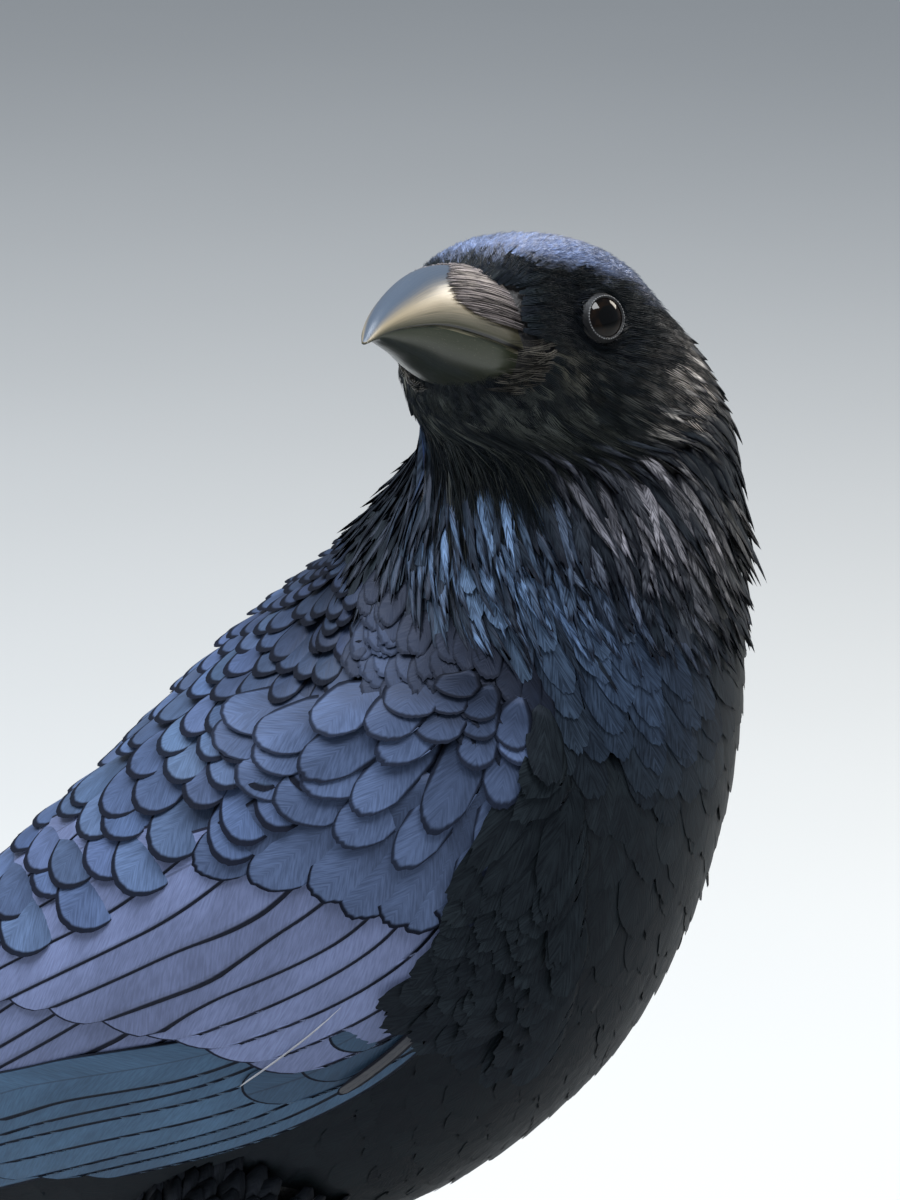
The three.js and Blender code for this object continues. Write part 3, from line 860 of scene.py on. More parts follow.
def plumage(name, roughness, specular, gloss, side_edge=(0.3, 0.8), end_edge=(0.4, 1.1), streaks=0.5,
            shaft=0.0, root_painted_shadow=0.0, mottle=0.25):
    """Feathers: each vane's tint, with the painted sheen that many tracts carry, streaked along its barbs,
    dark at its fringe.
    side_edge and end_edge are where the fringe fades, in millimetres in from the vane's edge.
    The root darkening is a painted shadow, cast by the feather that overlaps the vane: how much darker a vane
    is halfway down than near its end."""
    n = Nodes(name)
    u, v, _ = n.parts(n.uv("Vane"))
    from_side, from_end, _ = n.parts(n.uv("Edge"))
    tint = n.add("ShaderNodeAttribute", attribute_name="Tint", attribute_type="GEOMETRY")
    rim = n.math("MAXIMUM", n.ramp(from_side, *side_edge, 1.0, 0.0), n.ramp(from_end, *end_edge, 1.0, 0.0))
    rim = n.math("MULTIPLY", rim, tint.outputs["Alpha"], clamp=True)
    barbs = n.noise(n.uv("Barb", (1 / BARB_PITCH, 0.09 / BARB_PITCH, 1.0)), 1.0, 2.0)
    soft = n.noise(n.uv("Barb", (0.16, 0.05, 1.0)), 1.0, 2.0)
    streak = n.ramp(barbs, 0.3, 0.7, 1.0 - streaks, 1.0 + streaks)
    cloud = n.ramp(soft, 0.3, 0.7, 1.0 - mottle, 1.0 + mottle)
    # Painted shadow: each vane darkens towards its root, where the feather above overlaps it.
    if root_painted_shadow:
        cloud = n.math("MULTIPLY", cloud, n.ramp(v, 0.4, 0.85, 1.0 - root_painted_shadow, 1.0))
    body = n.mix(1.0, tint.outputs["Color"], n.math("MULTIPLY", streak, cloud), "MULTIPLY")
    colour = n.mix(rim, body, n.mix(1.0, body, FRINGE_SHADE, "MULTIPLY"))
    if shaft:
        off_shaft = n.math("ABSOLUTE", n.math("SUBTRACT", u, 0.5))
        line = n.ramp(off_shaft, *SHAFT_HALF, 1.0, 0.0)
        colour = n.mix(n.math("MULTIPLY", line, shaft), colour, (0.012, 0.012, 0.016))
    rough = n.math("ADD", n.math("MULTIPLY", rim, 0.3),
                   n.ramp(barbs, 0.3, 0.7, roughness - 0.06, roughness + 0.08))
    n.bump(barbs, 0.5, 0.00012)
    return n.finish(Base_Color=colour, Roughness=rough, Specular_IOR_Level=specular, Specular_Tint=gloss,
                    IOR=1.5)


def horn(name, top, low, rim, roughness, rim_reach=(0.06, 0.4), gloss=0.6, scars=0.3):
    """Bill and claw horn: one colour over the ridge, another on the flank, a third at the rim.
    rim_reach is where the rim's colour fades, and scars how plain the scratches are."""
    n = Nodes(name)
    _, v, _ = n.parts(n.uv("Vane"))
    grain = n.noise(n.uv("Vane", (6.0, 60.0, 1.0)), 1.0, 4.0)
    specks = n.noise(n.uv("Vane", (50.0, 60.0, 1.0)), 1.0, 3.0, 0.7)
    # Height from the cutting edge, made uneven by the grain, sets the colour bands; on the upper bill the
    # ridge and flank bands are painted reflections.
    band_height = n.math("ADD", v, n.math("MULTIPLY_ADD", grain, 0.3, -0.15))
    shade = n.mix(n.ramp(band_height, 0.45, 0.9), low, top)
    shade = n.mix(n.ramp(band_height, *rim_reach), rim, shade)
    scratches = n.noise(n.uv("Vane", (14.0, 160.0, 1.0)), 1.0, 2.0, 0.6)
    marks = n.math("MAXIMUM", n.ramp(specks, 0.64, 0.7), n.ramp(scratches, 0.7, 0.74))
    shade = n.mix(n.math("MULTIPLY", marks, scars), shade, (0.2, 0.19, 0.14))
    # Near black at the very cutting edge: on the bill this is painted shadow in the gap between its two
    # halves.
    shade = n.mix(n.ramp(v, 0.012, 0.03), (0.004, 0.004, 0.003), shade)
    n.bump(grain, 0.15, 0.0001)
    return n.finish(
        Base_Color=shade, Roughness=n.ramp(grain, 0.3, 0.7, roughness - 0.05, roughness + 0.1),
        Specular_IOR_Level=gloss, Coat_Weight=0.5 * gloss, Coat_Roughness=0.2,
    )


def skin_stuff(name, colour, scale, depth):
    """Bare or feathered skin in small cells, with scale cells to a metre."""
    n = Nodes(name)
    cells = n.add("ShaderNodeTexVoronoi", feature="DISTANCE_TO_EDGE")
    n.link(n.place(), cells.inputs["Vector"])
    cells.inputs["Scale"].default_value = scale
    seams = n.ramp(cells.outputs["Distance"], 0.0, 0.12)
    mottle = n.noise(n.place(), 220.0)
    dark = tuple(c * 0.35 for c in colour)
    shade = n.mix(n.math("MULTIPLY", seams, n.ramp(mottle, 0.2, 0.8, 0.5, 1.0)), dark, colour)
    n.bump(seams, 0.6, depth)
    return n.finish(Base_Color=shade, Roughness=n.ramp(mottle, 0.3, 0.7, 0.4, 0.6), Specular_IOR_Level=0.5)


def eye_stuff():
    """A dark brown iris round a black pupil, under a wet clear front. The eye looks along its +Z."""
    n = Nodes("eye_wet")
    x, y, _ = n.parts(n.place())
    spread = n.math("SQRT", n.math("ADD", n.math("MULTIPLY", x, x), n.math("MULTIPLY", y, y)))
    rays = n.noise(n.place((900.0, 900.0, 900.0)), 1.0, 3.0)
    iris = n.mix(n.ramp(rays, 0.3, 0.7), (0.002, 0.001, 0.0006), (0.009, 0.0045, 0.002))
    iris = n.mix(n.ramp(spread, 0.0019, 0.0022), (0.001, 0.001, 0.001), iris)
    iris = n.mix(n.ramp(spread, 0.0036, 0.0042), iris, (0.003, 0.003, 0.003))
    return n.finish(Base_Color=iris, Roughness=0.3, Specular_IOR_Level=0.0, Coat_Weight=0.5,
                    Coat_Roughness=0.02)


BLUE_GLOSS = (0.62, 0.7, 1.0)
CONTOUR = plumage("contour_feathers", 0.55, 0.14, BLUE_GLOSS)
HACKLE = plumage("neck_hackles", 0.42, 0.25, BLUE_GLOSS, (0.15, 0.9), (0.2, 2.5), streaks=0.8)
MANTLE = plumage("mantle_feathers", 0.45, 0.22, BLUE_GLOSS, (0.6, 1.1), (0.85, 1.5), streaks=0.2,
                 root_painted_shadow=0.5, mottle=0.15)
COVERT = plumage("small_coverts", 0.45, 0.2, BLUE_GLOSS, (0.35, 0.85), (0.45, 1.1), streaks=0.2,
                 root_painted_shadow=0.45, mottle=0.15)
HAIRY = plumage("hair_feathers", 0.5, 0.25, BLUE_GLOSS, streaks=0.25)
CROWN = plumage("crown_feathers", 0.36, 1.0, BLUE_GLOSS, (0.1, 0.5), (0.1, 0.9), streaks=0.3)
BRISTLE = plumage("bristles", 0.4, 0.35, (1.0, 0.95, 0.9), streaks=0.15)
FLIGHT = plumage("flight_feathers", 0.42, 0.28, BLUE_GLOSS, (0.4, 0.65), (0.4, 0.65), streaks=0.14,
                 shaft=0.4, mottle=0.12)
SKIN_DARK = skin_stuff("feathered_skin", (0.02, 0.018, 0.018), 900.0, 0.00005)
LEG_HIDE = skin_stuff("leg_hide", (0.022, 0.022, 0.024), 620.0, 0.0002)
LEG_SCUTE = skin_stuff("leg_scutes", (0.026, 0.026, 0.028), 300.0, 0.0001)
LID = skin_stuff("eyelid_skin", (0.008, 0.008, 0.009), 1500.0, 0.00003)
LID_BEAD = skin_stuff("eyelid_beads", (0.2, 0.2, 0.2), 3000.0, 0.00001)
# Upper bill: the blue-grey over the ridge is a painted reflection of the sky, and the tan on the flank is a
# painted warm reflection.
BILL_UPPER = horn("bill_upper_horn", (0.06, 0.08, 0.11), (0.32, 0.26, 0.165), (0.06, 0.056, 0.034), 0.33,
                  (0.08, 0.5), gloss=0.45)
# Lower bill: the pale tan rim along its cutting edge is a painted highlight.
BILL_LOWER = horn("bill_lower_horn", (0.014, 0.016, 0.009), (0.026, 0.032, 0.015), (0.2, 0.18, 0.11), 0.34,
                  (0.03, 0.06), gloss=0.4, scars=0.8)
CLAW_HORN = horn("claw_horn", (0.02, 0.02, 0.022), (0.012, 0.012, 0.012), (0.01, 0.01, 0.01), 0.3)
EYE_WET = eye_stuff()


# ---- Skin ----
def coat_depth(s):
    """How far the skin lies under the coat's outside: deep on the trunk, thin on the face."""
    return np.interp(s, [0, 1, 6, 8, 10, 12.4, 13.4, 14], [1.8, 2.1, 2.3, 2.4, 1.9, 1.6, 4.0, 5.0])


def build_skin(coat):
    """One closed surface for trunk, neck, head, wings, thighs, shanks and toes."""
    turn = np.radians(np.arange(0, 360, 15))
    lofts = [surface_grid(lambda a, b: coat.place(a, b, -coat_depth(a)),
                          np.linspace(0, SPINE_END, 141), np.radians(np.arange(0, 360, 3.0)))]
    u, v = np.linspace(0.3, ARM_END, 26), np.linspace(0.06, 0.94, 12)
    for _, side in SIDES:
        sheet = wing_ring_grid(side, u, v)
        sheet[:, :len(v)] += 0.35 * (sheet[:, :len(v) - 1:-1] - sheet[:, :len(v)])
        lofts.append(sheet)
        for rows, s, grow in ((THIGH, np.linspace(0, 3.4, 22), -2.2), (THIGH, np.linspace(3.2, 4, 8), 0.0),
                              (TARSUS, np.linspace(0, 5, 40), 0.0)):
            lofts.append(surface_grid(lambda a, b: limb_point(rows, side, a, b, grow), s, turn))
        lofts += [toe_rings(side, *toe) for toe in TOES]
    points, faces, total = [], [], 0
    for grid in lofts:
        points.append(grid.reshape(-1, 3))
        faces += [[i + total for i in f] for f in tube_faces(*grid.shape[:2])]
        total += len(points[-1])
    rough = solid("rough_skin", to_metres(np.concatenate(points)), faces)
    remesh = rough.modifiers.new("one_skin", "REMESH")
    remesh.mode, remesh.voxel_size = "VOXEL", 1.25 * MM
    smooth = rough.modifiers.new("soften", "SMOOTH")
    smooth.factor, smooth.iterations = 0.5, 2
    mesh = bpy.data.meshes.new_from_object(rough.evaluated_get(bpy.context.evaluated_depsgraph_get()))
    bpy.data.objects.remove(rough)
    mesh.name = "skin"
    mesh.materials.clear()
    mesh.materials.append(SKIN_DARK)
    mesh.materials.append(LEG_HIDE)
    centres = np.zeros(len(mesh.polygons) * 3)
    mesh.polygons.foreach_get("center", centres)
    low = centres[2::3] < (HEEL_Z + 6) * MM
    near = centres[1::3] < (HEEL_Y + 12 + HOME[1]) * MM
    mesh.polygons.foreach_set("material_index", (low & near).astype(np.int32))
    shade_smooth(mesh)
    paired = [f"{part}_{name}" for part in ("wing", "thigh", "tarsus", "foot") for name, _ in SIDES]
    return belongs(put("skin", mesh), ["head", "neck", "trunk", *paired])


def toe_rings(side, outwards, length, half):
    """A toe with a swelling pad under each joint, flat where it stands."""
    forward, up, left = axes(-side * outwards, 0.0)
    t = np.linspace(0, 1, 25)[:, None]
    angle = np.radians(np.arange(0, 360, 24))[None, :]
    wide = half * (1.12 - 0.32 * t) * (1 + 0.12 * np.cos(6 * np.pi * t))
    end = np.clip((t - 0.72) / 0.28, 0, 1)
    rise = wide - 0.5 + 3 * np.maximum(0, 0.25 - t) + 3.2 * end**2 * (3 - 2 * end)
    wide = wide * np.sqrt(1 - 0.6 * np.clip((t - 0.9) / 0.1, 0, 1) ** 2)
    height = np.maximum(np.cos(angle) * wide + rise, 0.05)
    return (np.array([side * LEG_SPREAD, FOOT_Y, 0.0]) + (t * length)[..., None] * forward
            + (np.sin(angle) * wide)[..., None] * left + height[..., None] * up)


# ---- Eyes ----
EYE_TURN = 30.0                       # how far the eyes look forward of straight sideways
RING_ANGLE = 35.0                     # from the middle of the eye to the edge of its lids
BROW_SLOPE = 0.6                      # how fast the feathers fall away from the lids
PARTING = 1.6                         # how far out the feathers are parted, in radii of the lids
# Lids: degrees out from the opening, height over the eyeball.
LID_PROFILE = [(-2.2, 0.1), (-1.6, 0.35), (-0.4, 0.45), (1.2, 0.4), (4, 0.15), (12, 0.0), (24, -0.2),
               (40, -0.4), (40, -1.0), (0, -1.0)]
BEADS, BEAD_RISE = 46, 0.42
BEAD_SIZE = (0.22, 0.13, 0.12)        # half length round the lid, half width, height


def eye_frame(side):
    """The way an eye looks, its middle, and the directions across and up its rim."""
    turn = math.radians(EYE_TURN)
    way = side * math.cos(turn) * HEAD_LEFT + math.sin(turn) * HEAD_FORWARD
    way /= np.linalg.norm(way)
    across = np.cross(way, HEAD_UP)
    across /= np.linalg.norm(across)
    return way, in_head(side * EYE_PLACE[0], *EYE_PLACE[1:]), across, np.cross(across, way)


def ball(polar, turn):
    """Points of a unit ball: polar is the angle from its +Z."""
    wide = np.sin(polar)
    return np.stack([wide * np.cos(turn), wide * np.sin(turn), np.cos(polar) + 0 * turn], -1)


def build_eye(side_name, side):
    """A ball whose own +Z looks out, with a slight bulge in front."""
    way, middle, _, _ = eye_frame(side)
    polar = np.radians(np.linspace(1.0, 179.0, 40))[:, None]
    turn = np.linspace(0, 2 * np.pi, 64, endpoint=False)[None, :]
    bulge = EYE_RADIUS * (1 + 0.03 * np.exp(-(polar / 0.6) ** 2))
    points = bulge[..., None] * ball(polar, turn)
    eye = solid(f"eyeball_{side_name}", points * MM, tube_faces(*points.shape[:2]), EYE_WET)
    eye.matrix_world = facing(to_metres(middle)[0], way, "Z")
    belongs(eye, [f"eye_{side_name}"])


def build_lids(skin):
    """Bare lids round each eye with a thin beaded edge, joined to the skin."""
    turn = np.linspace(0, 2 * np.pi, 96, endpoint=False)[:, None]
    made = []
    for _, side in SIDES:
        way, middle, across, up = eye_frame(side)
        outwards = np.cos(turn) * across + np.sin(turn) * up
        rows = []
        for out, lift in LID_PROFILE:
            a = math.radians(RING_ANGLE + out)
            rows.append(middle + (EYE_RADIUS + lift) * (math.cos(a) * way + math.sin(a) * outwards))
        grid = np.array(rows + rows[:1])
        made.append(solid("lid", to_metres(grid), faces_of_grid(*grid.shape[:2]), LID))
        made.append(lid_beads(side))
    with bpy.context.temp_override(active_object=skin, selected_editable_objects=[skin, *made]):
        bpy.ops.object.join()


def lid_beads(side):
    """A ring of small domes on the edge of the lids."""
    rng = np.random.default_rng(3 + side)
    way, middle, across, up = eye_frame(side)
    dome = ball(np.radians(np.linspace(0, 90, 4))[:, None], np.radians(np.arange(0, 360, 45))[None, :])
    a = math.radians(RING_ANGLE - 0.6)
    points, faces = [], []
    for turn in 2 * np.pi * np.arange(BEADS) / BEADS:
        out = math.cos(turn) * across + math.sin(turn) * up
        along = -math.sin(turn) * across + math.cos(turn) * up
        rise = math.cos(a) * way + math.sin(a) * out
        wide = math.sin(a) * way - math.cos(a) * out
        size = np.array(BEAD_SIZE) * rng.uniform(0.75, 1.1)
        bead = middle + (EYE_RADIUS + BEAD_RISE) * rise + (dome * size) @ np.array([along, wide, rise])
        faces += [[i + len(points) for i in f] for f in tube_faces(*bead.shape[:2])]
        points += list(bead.reshape(-1, 3))
    return solid("lid_beads", to_metres(points), faces, LID_BEAD)


# ---- Bill ----
BILL_LIP = 0.035                      # how far the cutting edges stand out, as a share of the width


def hump(value, middle, width):
    """1 at the middle, fading smoothly to 0 over the width."""
    return np.exp(-((value - middle) / width) ** 2)


def bill_ring(row, upper, angles):
    """Half an outline of the bill: side, forward and up, from its left edge to its right."""
    forward, ridge, edge, bottom, half = row
    rim = edge - 0.15 if upper else edge + 0.15
    reach = (ridge if upper else bottom) - rim
    lip = 1 + BILL_LIP * (hump(angles, 0, 0.16) + hump(angles, np.pi, 0.16))
    side = bow(np.cos(angles), 1.1 if upper else 0.8) * half * lip * (1 if upper else 0.94)
    up = rim + reach * np.sin(angles) ** (0.95 if upper else 0.7)
    return side, np.full_like(side, forward), up


def build_bill(name, upper):
    """One half of the bill. Its UV map has the way to the tip, and the height from its cutting edge."""
    angles, t = np.linspace(0, np.pi, 49), np.linspace(0, len(BILL) - 1, 71)
    grid = np.array([in_head(*bill_ring(blend(BILL, place), upper, angles)) for place in t])
    uv = np.stack(np.meshgrid(t / (len(BILL) - 1), np.sin(angles), indexing="ij"), -1).reshape(-1, 2)
    stuff = BILL_UPPER if upper else BILL_LOWER
    made = solid(name + "_horn", to_metres(grid), tube_faces(*grid.shape[:2]), stuff, uv)
    belongs(made, [name])


# ---- Plumage, tract by tract ----
ALL_ROUND = (0, 2 * np.pi)
HAIR = {"barb_angle": 0.0, "fringe": 0.0}
# Slate, violet and teal are partly the plumage's own blue gloss and partly a painted sheen of light from
# above.
SLATE = np.array([0.065, 0.092, 0.165])
VIOLET = np.array([0.15, 0.18, 0.31])
TEAL = np.array([0.05, 0.1, 0.165])
PALE_SHAFT = np.array([0.4, 0.4, 0.42])
GREY_VANE = np.array([0.13, 0.128, 0.125])


def off_axis(points, middle, way):
    """How far points lie out along a way, and their offset and distance from its line."""
    off = points - middle
    out = off @ way
    flat = off - out[..., None] * way
    return out, flat, np.linalg.norm(flat, axis=-1)


def around_eyes(points, ground):
    """Parts the feathers round the lids, and lifts those near them up to the lids' edge.
    ground is the coat's surface under each point."""
    clear = EYE_RADIUS * math.sin(math.radians(RING_ANGLE)) + 0.35
    brim = EYE_RADIUS * math.cos(math.radians(RING_ANGLE)) - 0.3
    for _, side in SIDES:
        way, middle, _, _ = eye_frame(side)
        out, _, r = off_axis(ground, middle, way)
        low = brim - BROW_SLOPE * np.maximum(r - clear, 0) - out
        points = points + (np.maximum(low, 0) * (out > 0))[..., None] * way
        out, flat, r = off_axis(points, middle, way)
        wanted = np.where((out > 0) & (r < clear * PARTING), clear + r * (PARTING - 1) / PARTING, r)
        points = points + flat * ((np.maximum(wanted, r) / np.maximum(r, 1e-6)) - 1)[..., None]
    return points


def column(weight):
    return np.asarray(weight, float)[:, None]


def lit(base, *lights):
    """One colour for each feather: a base colour, and colours of a weight added to it, painted sheen among
    them.
    """
    return np.array(base) + sum(column(weight) * np.array(colour) for weight, colour in lights)


def seen_in_head(chart, p, q):
    """How far forward and up places on a chart are in the head's own axes."""
    local = chart.place(p, q, np.zeros_like(p)) - HEAD_CENTRE
    return local @ HEAD_FORWARD, local @ HEAD_UP


def cap_height(p, q, up):
    """Height on the head, wavy, so that the cap ends in a ragged line."""
    return up + 2.0 * wander(p, q, 15, 0.3)


def bare_bill(forward, up):
    """Where the horn is, so that nothing grows there."""
    flank = (forward > 15.0) & (up < -5.0) & (up > -13.0)
    return flank | (forward > 21) & (up < 4.6) & (up > -13.2) | (forward > 28) & (up < 6)


def painted_ear_sheen(forward, up):
    """Where a sheen is painted on the ear coverts."""
    return hump(forward, -12, 8) * hump(up, -9, 12)


def head_feathers(coat):
    """Hair-like feathers of the face, the chin and the sides of the head."""
    rng = np.random.default_rng(11)
    fur = Coat("head_coat", "head_plumage", HAIRY)
    p, q = scatter(coat, (8.2, 14.6), ALL_ROUND, 0.98, rng)
    forward, up = seen_in_head(coat, p, q)
    below = (p < 9.2) & (throat_share(p, q) < rng.uniform(0.3, 0.7, len(p)))
    keep = ~bare_bill(forward, up) & (cap_height(p, q, up) <= 9.0) & ~below
    p, q, forward, up = p[keep], q[keep], forward[keep], up[keep]
    count = len(p)
    lores = hump(forward, 11, 8) * hump(up, 1, 8)
    chin = hump(forward, 10, 10) * hump(up, -17, 6)
    gape = hump(forward, 12, 5) * hump(up, -9, 4)
    length = np.interp(p, [8.2, 9.2, 10.5, 12, 13.6], [11, 10, 7.5, 5.2, 3.8]) * rng.uniform(0.85, 1.2, count)
    width = np.interp(p, [9.2, 12, 13.6], [1.3, 0.9, 0.75])
    end = tips(coat, p, q, length * (1 + 0.3 * chin), 14 * wander(p, q, 5) + rng.normal(0, 7, count))
    spark = rng.uniform(0, 1, count) ** 2.5
    # The ear coverts carry a painted warm sheen, strongest on the feathers with the most spark.
    tint = lit((0.006, 0.009, 0.0085), (spark**4, (0.03, 0.033, 0.03)),
               (painted_ear_sheen(forward, up) * spark, (0.6, 0.53, 0.47)),
               (chin * spark, (0.09, 0.095, 0.08)), (gape * spark, (0.1, 0.09, 0.065)))
    tint = tint * column((1 - 0.55 * lores) * rng.uniform(0.6, 1.4, count))
    lift = (-coat_depth(p) * 0.75, rng.uniform(-0.4, 0.15, count))
    fur.add(coat, hair_tuft(5, 3, 0.16, 3), (p, q), end, width, lift, tint, rng, thick=0.14, ragged=0.08,
            push=around_eyes, **HAIR)
    fur.build()


def crown_feathers(coat):
    """Short, sleek and glossy, from the bill's base over the top of the head."""
    rng = np.random.default_rng(14)
    cap = Coat("crown_coat", "head_plumage", CROWN)
    p, q = scatter(coat, (9.2, SPINE_END), ALL_ROUND, 0.78, rng)
    forward, up = seen_in_head(coat, p, q)
    keep = (cap_height(p, q, up) > 8.2) & (forward < 31.5)
    p, q, forward, up = p[keep], q[keep], forward[keep], up[keep]
    count = len(p)
    length = np.interp(forward, [-30, -10, 10, 28], [6.5, 3.6, 2.6, 2.0]) * rng.uniform(0.85, 1.15, count)
    width = np.interp(forward, [-30, -10, 10, 28], [1.0, 0.75, 0.62, 0.55])
    end = tips(coat, p, q, length, 8 * wander(p, q, 5) + rng.normal(0, 9, count))
    # Painted highlight: the front of the cap is painted pale blue where it shines under light from above.
    painted_forehead_sheen = np.clip((forward + 22) / 26, 0, 1) * np.clip((up - 8.5) / 3.5, 0, 1)
    tint = lit((0, 0, 0), (1 - painted_forehead_sheen, (0.05, 0.058, 0.075)), (painted_forehead_sheen, (0.22, 0.28, 0.45)))
    tint = tint * column(rng.uniform(0.6, 1.3, count))
    lift = (-coat_depth(p) * 0.6, rng.uniform(-0.35, 0.05, count))
    cap.add(coat, hair_tuft(4, 2, 0.2, 4), (p, q), end, width, lift, tint, rng, thick=0.16, ragged=0.07,
            push=around_eyes, **HAIR)
    cap.build()


def bill_chart():
    """The upper bill: distance forward, and angle from its left edge over the ridge to its right."""
    t, angle = np.meshgrid(np.linspace(0, 4.2, 43), np.radians(np.linspace(4, 176, 44)), indexing="ij")
    side, forward, up = bill_ring(np.moveaxis(blend(BILL, t), -1, 0), True, angle)
    return Chart(in_head(side, forward, up), (0, 4.2), np.radians([4, 176]), flow=1, hand=1)


# Bristles over the nostrils, from the layer that reaches furthest: station of root and tip, height.
NASAL_LAYERS = [(1.5, 2.72, 0.12), (1.0, 2.62, 0.33), (0.5, 2.35, 0.55), (0.1, 1.9, 0.8)]


def bristles():
    """Stiff hairs that lie forward over the nostrils."""
    rng = np.random.default_rng(15)
    chart = bill_chart()
    nasal = Coat("nasal_bristles", "head_plumage", BRISTLE)
    shape = hair_tuft(1, 7, 0.8, 5)
    lowest = np.radians(14)
    for layer, (root, reach, lift) in enumerate(NASAL_LAYERS):
        for mirror in (False, True):
            angle = np.radians(np.arange(13, 84, 1.5) + rng.uniform(0, 1.5))
            count = len(angle)
            angle = angle + rng.normal(0, np.radians(0.3), count)
            short = (1.6 * hump(angle, np.radians(8), np.radians(13))
                     + 2.6 * hump(angle, np.radians(95), np.radians(30)))
            q0 = lowest + (angle - lowest) * 0.96
            p0 = root + rng.uniform(-0.15, 0.15, count)
            p1 = reach - 0.45 * short + rng.normal(0, 0.035, count)
            q1 = angle + np.radians(1.5) * np.sin(angle * 9 + layer) + rng.normal(0, np.radians(0.5), count)
            if mirror:
                q0, q1 = np.pi - q0, np.pi - q1
            tint = np.array([0.26, 0.225, 0.22]) * column(rng.uniform(0.3, 1.15, count) ** 1.6)
            width = rng.uniform(0.2, 0.28, count)
            heights = (lift - 0.1, lift * 0.5 + rng.uniform(0, 0.25, count))
            nasal.add(chart, shape, (p0, q0), (p1, q1), width, heights, tint, rng, thick=0.32, ragged=0.02,
                      curl=-0.1, **HAIR)
    nasal.build()


def rictal_hairs(coat):
    """Hairs behind the gape that sweep down and forward over the base of the lower bill."""
    rng = np.random.default_rng(16)
    hairs = Coat("rictal_bristles", "head_plumage", BRISTLE)
    p, q = scatter(coat, (11.9, 13.5), ALL_ROUND, 0.85, rng)
    forward, up = seen_in_head(coat, p, q)
    keep = (up < -5.0) & (up > -15) & (forward < 17) & (forward > 8)
    p, q = p[keep], q[keep]
    count = len(p)
    to_chin = np.where(np.sin(q) > 0, 1.0, -1.0)
    length = rng.uniform(5, 10, count)
    end = tips(coat, p, q, length, 180 - to_chin * rng.uniform(18, 52, count))
    tint = np.array([0.13, 0.12, 0.1]) * column(rng.uniform(0.1, 1.3, count) ** 2)
    hairs.add(coat, hair_tuft(2, 5, 0.22, 8, 0.6), (p, q), end, 0.42, (-1.4, rng.uniform(-0.7, 0.1, count)),
              tint, rng, thick=0.2, ragged=0.05, curl=-0.3, **HAIR)
    hairs.build()


# Painted sheen on the neck: station, angle from the back, reach in each, colour.
NECK_PAINTED_SHEEN = [
    (6.95, 230, 0.42, 28, (0.075, 0.12, 0.2)),
    (7.5, 166, 0.5, 24, (0.19, 0.18, 0.2)),
    (7.6, 262, 0.3, 10, (0.035, 0.07, 0.19)),
    (6.5, 196, 0.38, 24, (0.018, 0.03, 0.06)),
    (9.2, 97, 0.9, 22, (0.34, 0.31, 0.275)),
]


def painted_neck_sheen(p, q):
    """The colour that the neck's painted sheen adds to a feather whose tip is at a place."""
    degrees = np.degrees(q) % 360
    return lit((0, 0, 0), *((hump(p, s, reach) * hump(degrees, angle, width), colour)
                            for s, angle, reach, width, colour in NECK_PAINTED_SHEEN))


def throat_share(p, q):
    """How much of the hair-like throat there is at a place on the neck."""
    return hump(np.degrees(q) % 360, 222, 40) * np.clip((p - 7.9) / 0.7, 0, 1)


def neck_feathers(coat):
    """Pointed hackles, loose and ruffled on the nape, sleek behind the cheek."""
    rng = np.random.default_rng(12)
    ruff = Coat("neck_coat", "body_plumage", HACKLE)
    p, q = scatter(coat, (6.75, 9.8), ALL_ROUND, 2.25, rng)
    keep = (throat_share(p, q) < 0.6) & (p > 6.75 + 0.3 * hump(np.degrees(q), 200, 32))
    p, q = p[keep], q[keep]
    degrees = np.degrees(q) % 360
    count = len(p)
    ruffle = hump(degrees, 105, 45) * hump(p, 7.9, 0.9)
    sleek = hump(degrees, 90, 30) * hump(p, 9.3, 0.7)
    length = np.interp(p, [6.8, 8.2, 9.8], [13.5, 12.5, 11]) * rng.uniform(0.8, 1.15, count)
    length = length * (1 + 0.35 * ruffle)
    clump = wander(p * 2, q * 2, 6)
    end = tips(coat, p, q, length, 16 * wander(p, q, 16) + 9 * clump + rng.normal(0, 8, count))
    spark = 0.1 + 2.3 * rng.uniform(0, 1, count) ** 2.2
    tint = lit((0.007, 0.010, 0.012), (hump(degrees, 130, 45) * spark, (0.02, 0.018, 0.014)))
    # The neck's patches of painted sheen, strongest on the feathers with the most spark.
    tint = tint + painted_neck_sheen(*end) * column(spark)
    stand = rng.uniform(-0.5, 0.7, count) - 1.1 * sleek
    stand = stand + ruffle * np.clip(clump + 0.4, 0, 1.4) * rng.uniform(0.6, 3.2, count)
    width = rng.uniform(1.4, 2.1, count)
    lift = (-coat_depth(p) * 0.8, stand)
    ruff.add(coat, lance_vane(11, 6), (p, q), end, width, lift, tint, rng, thick=0.45, ragged=0.09,
             barb_angle=14.0, fringe=0.9)
    ruff.build()


def breast_reach(s):
    """Half the range of angles from the keel that the under feathers cover, in degrees."""
    return np.interp(s, [0.3, 1.0, 1.6, 2.0, 3.0, 4.0, 4.99, 5.0, 5.3, 5.6, 6.0, 6.45, 6.6, 6.75, 7.3],
                     [180, 115, 98, 94, 88, 79, 69, 50, 56, 60, 62, 64, 118, 135, 178])


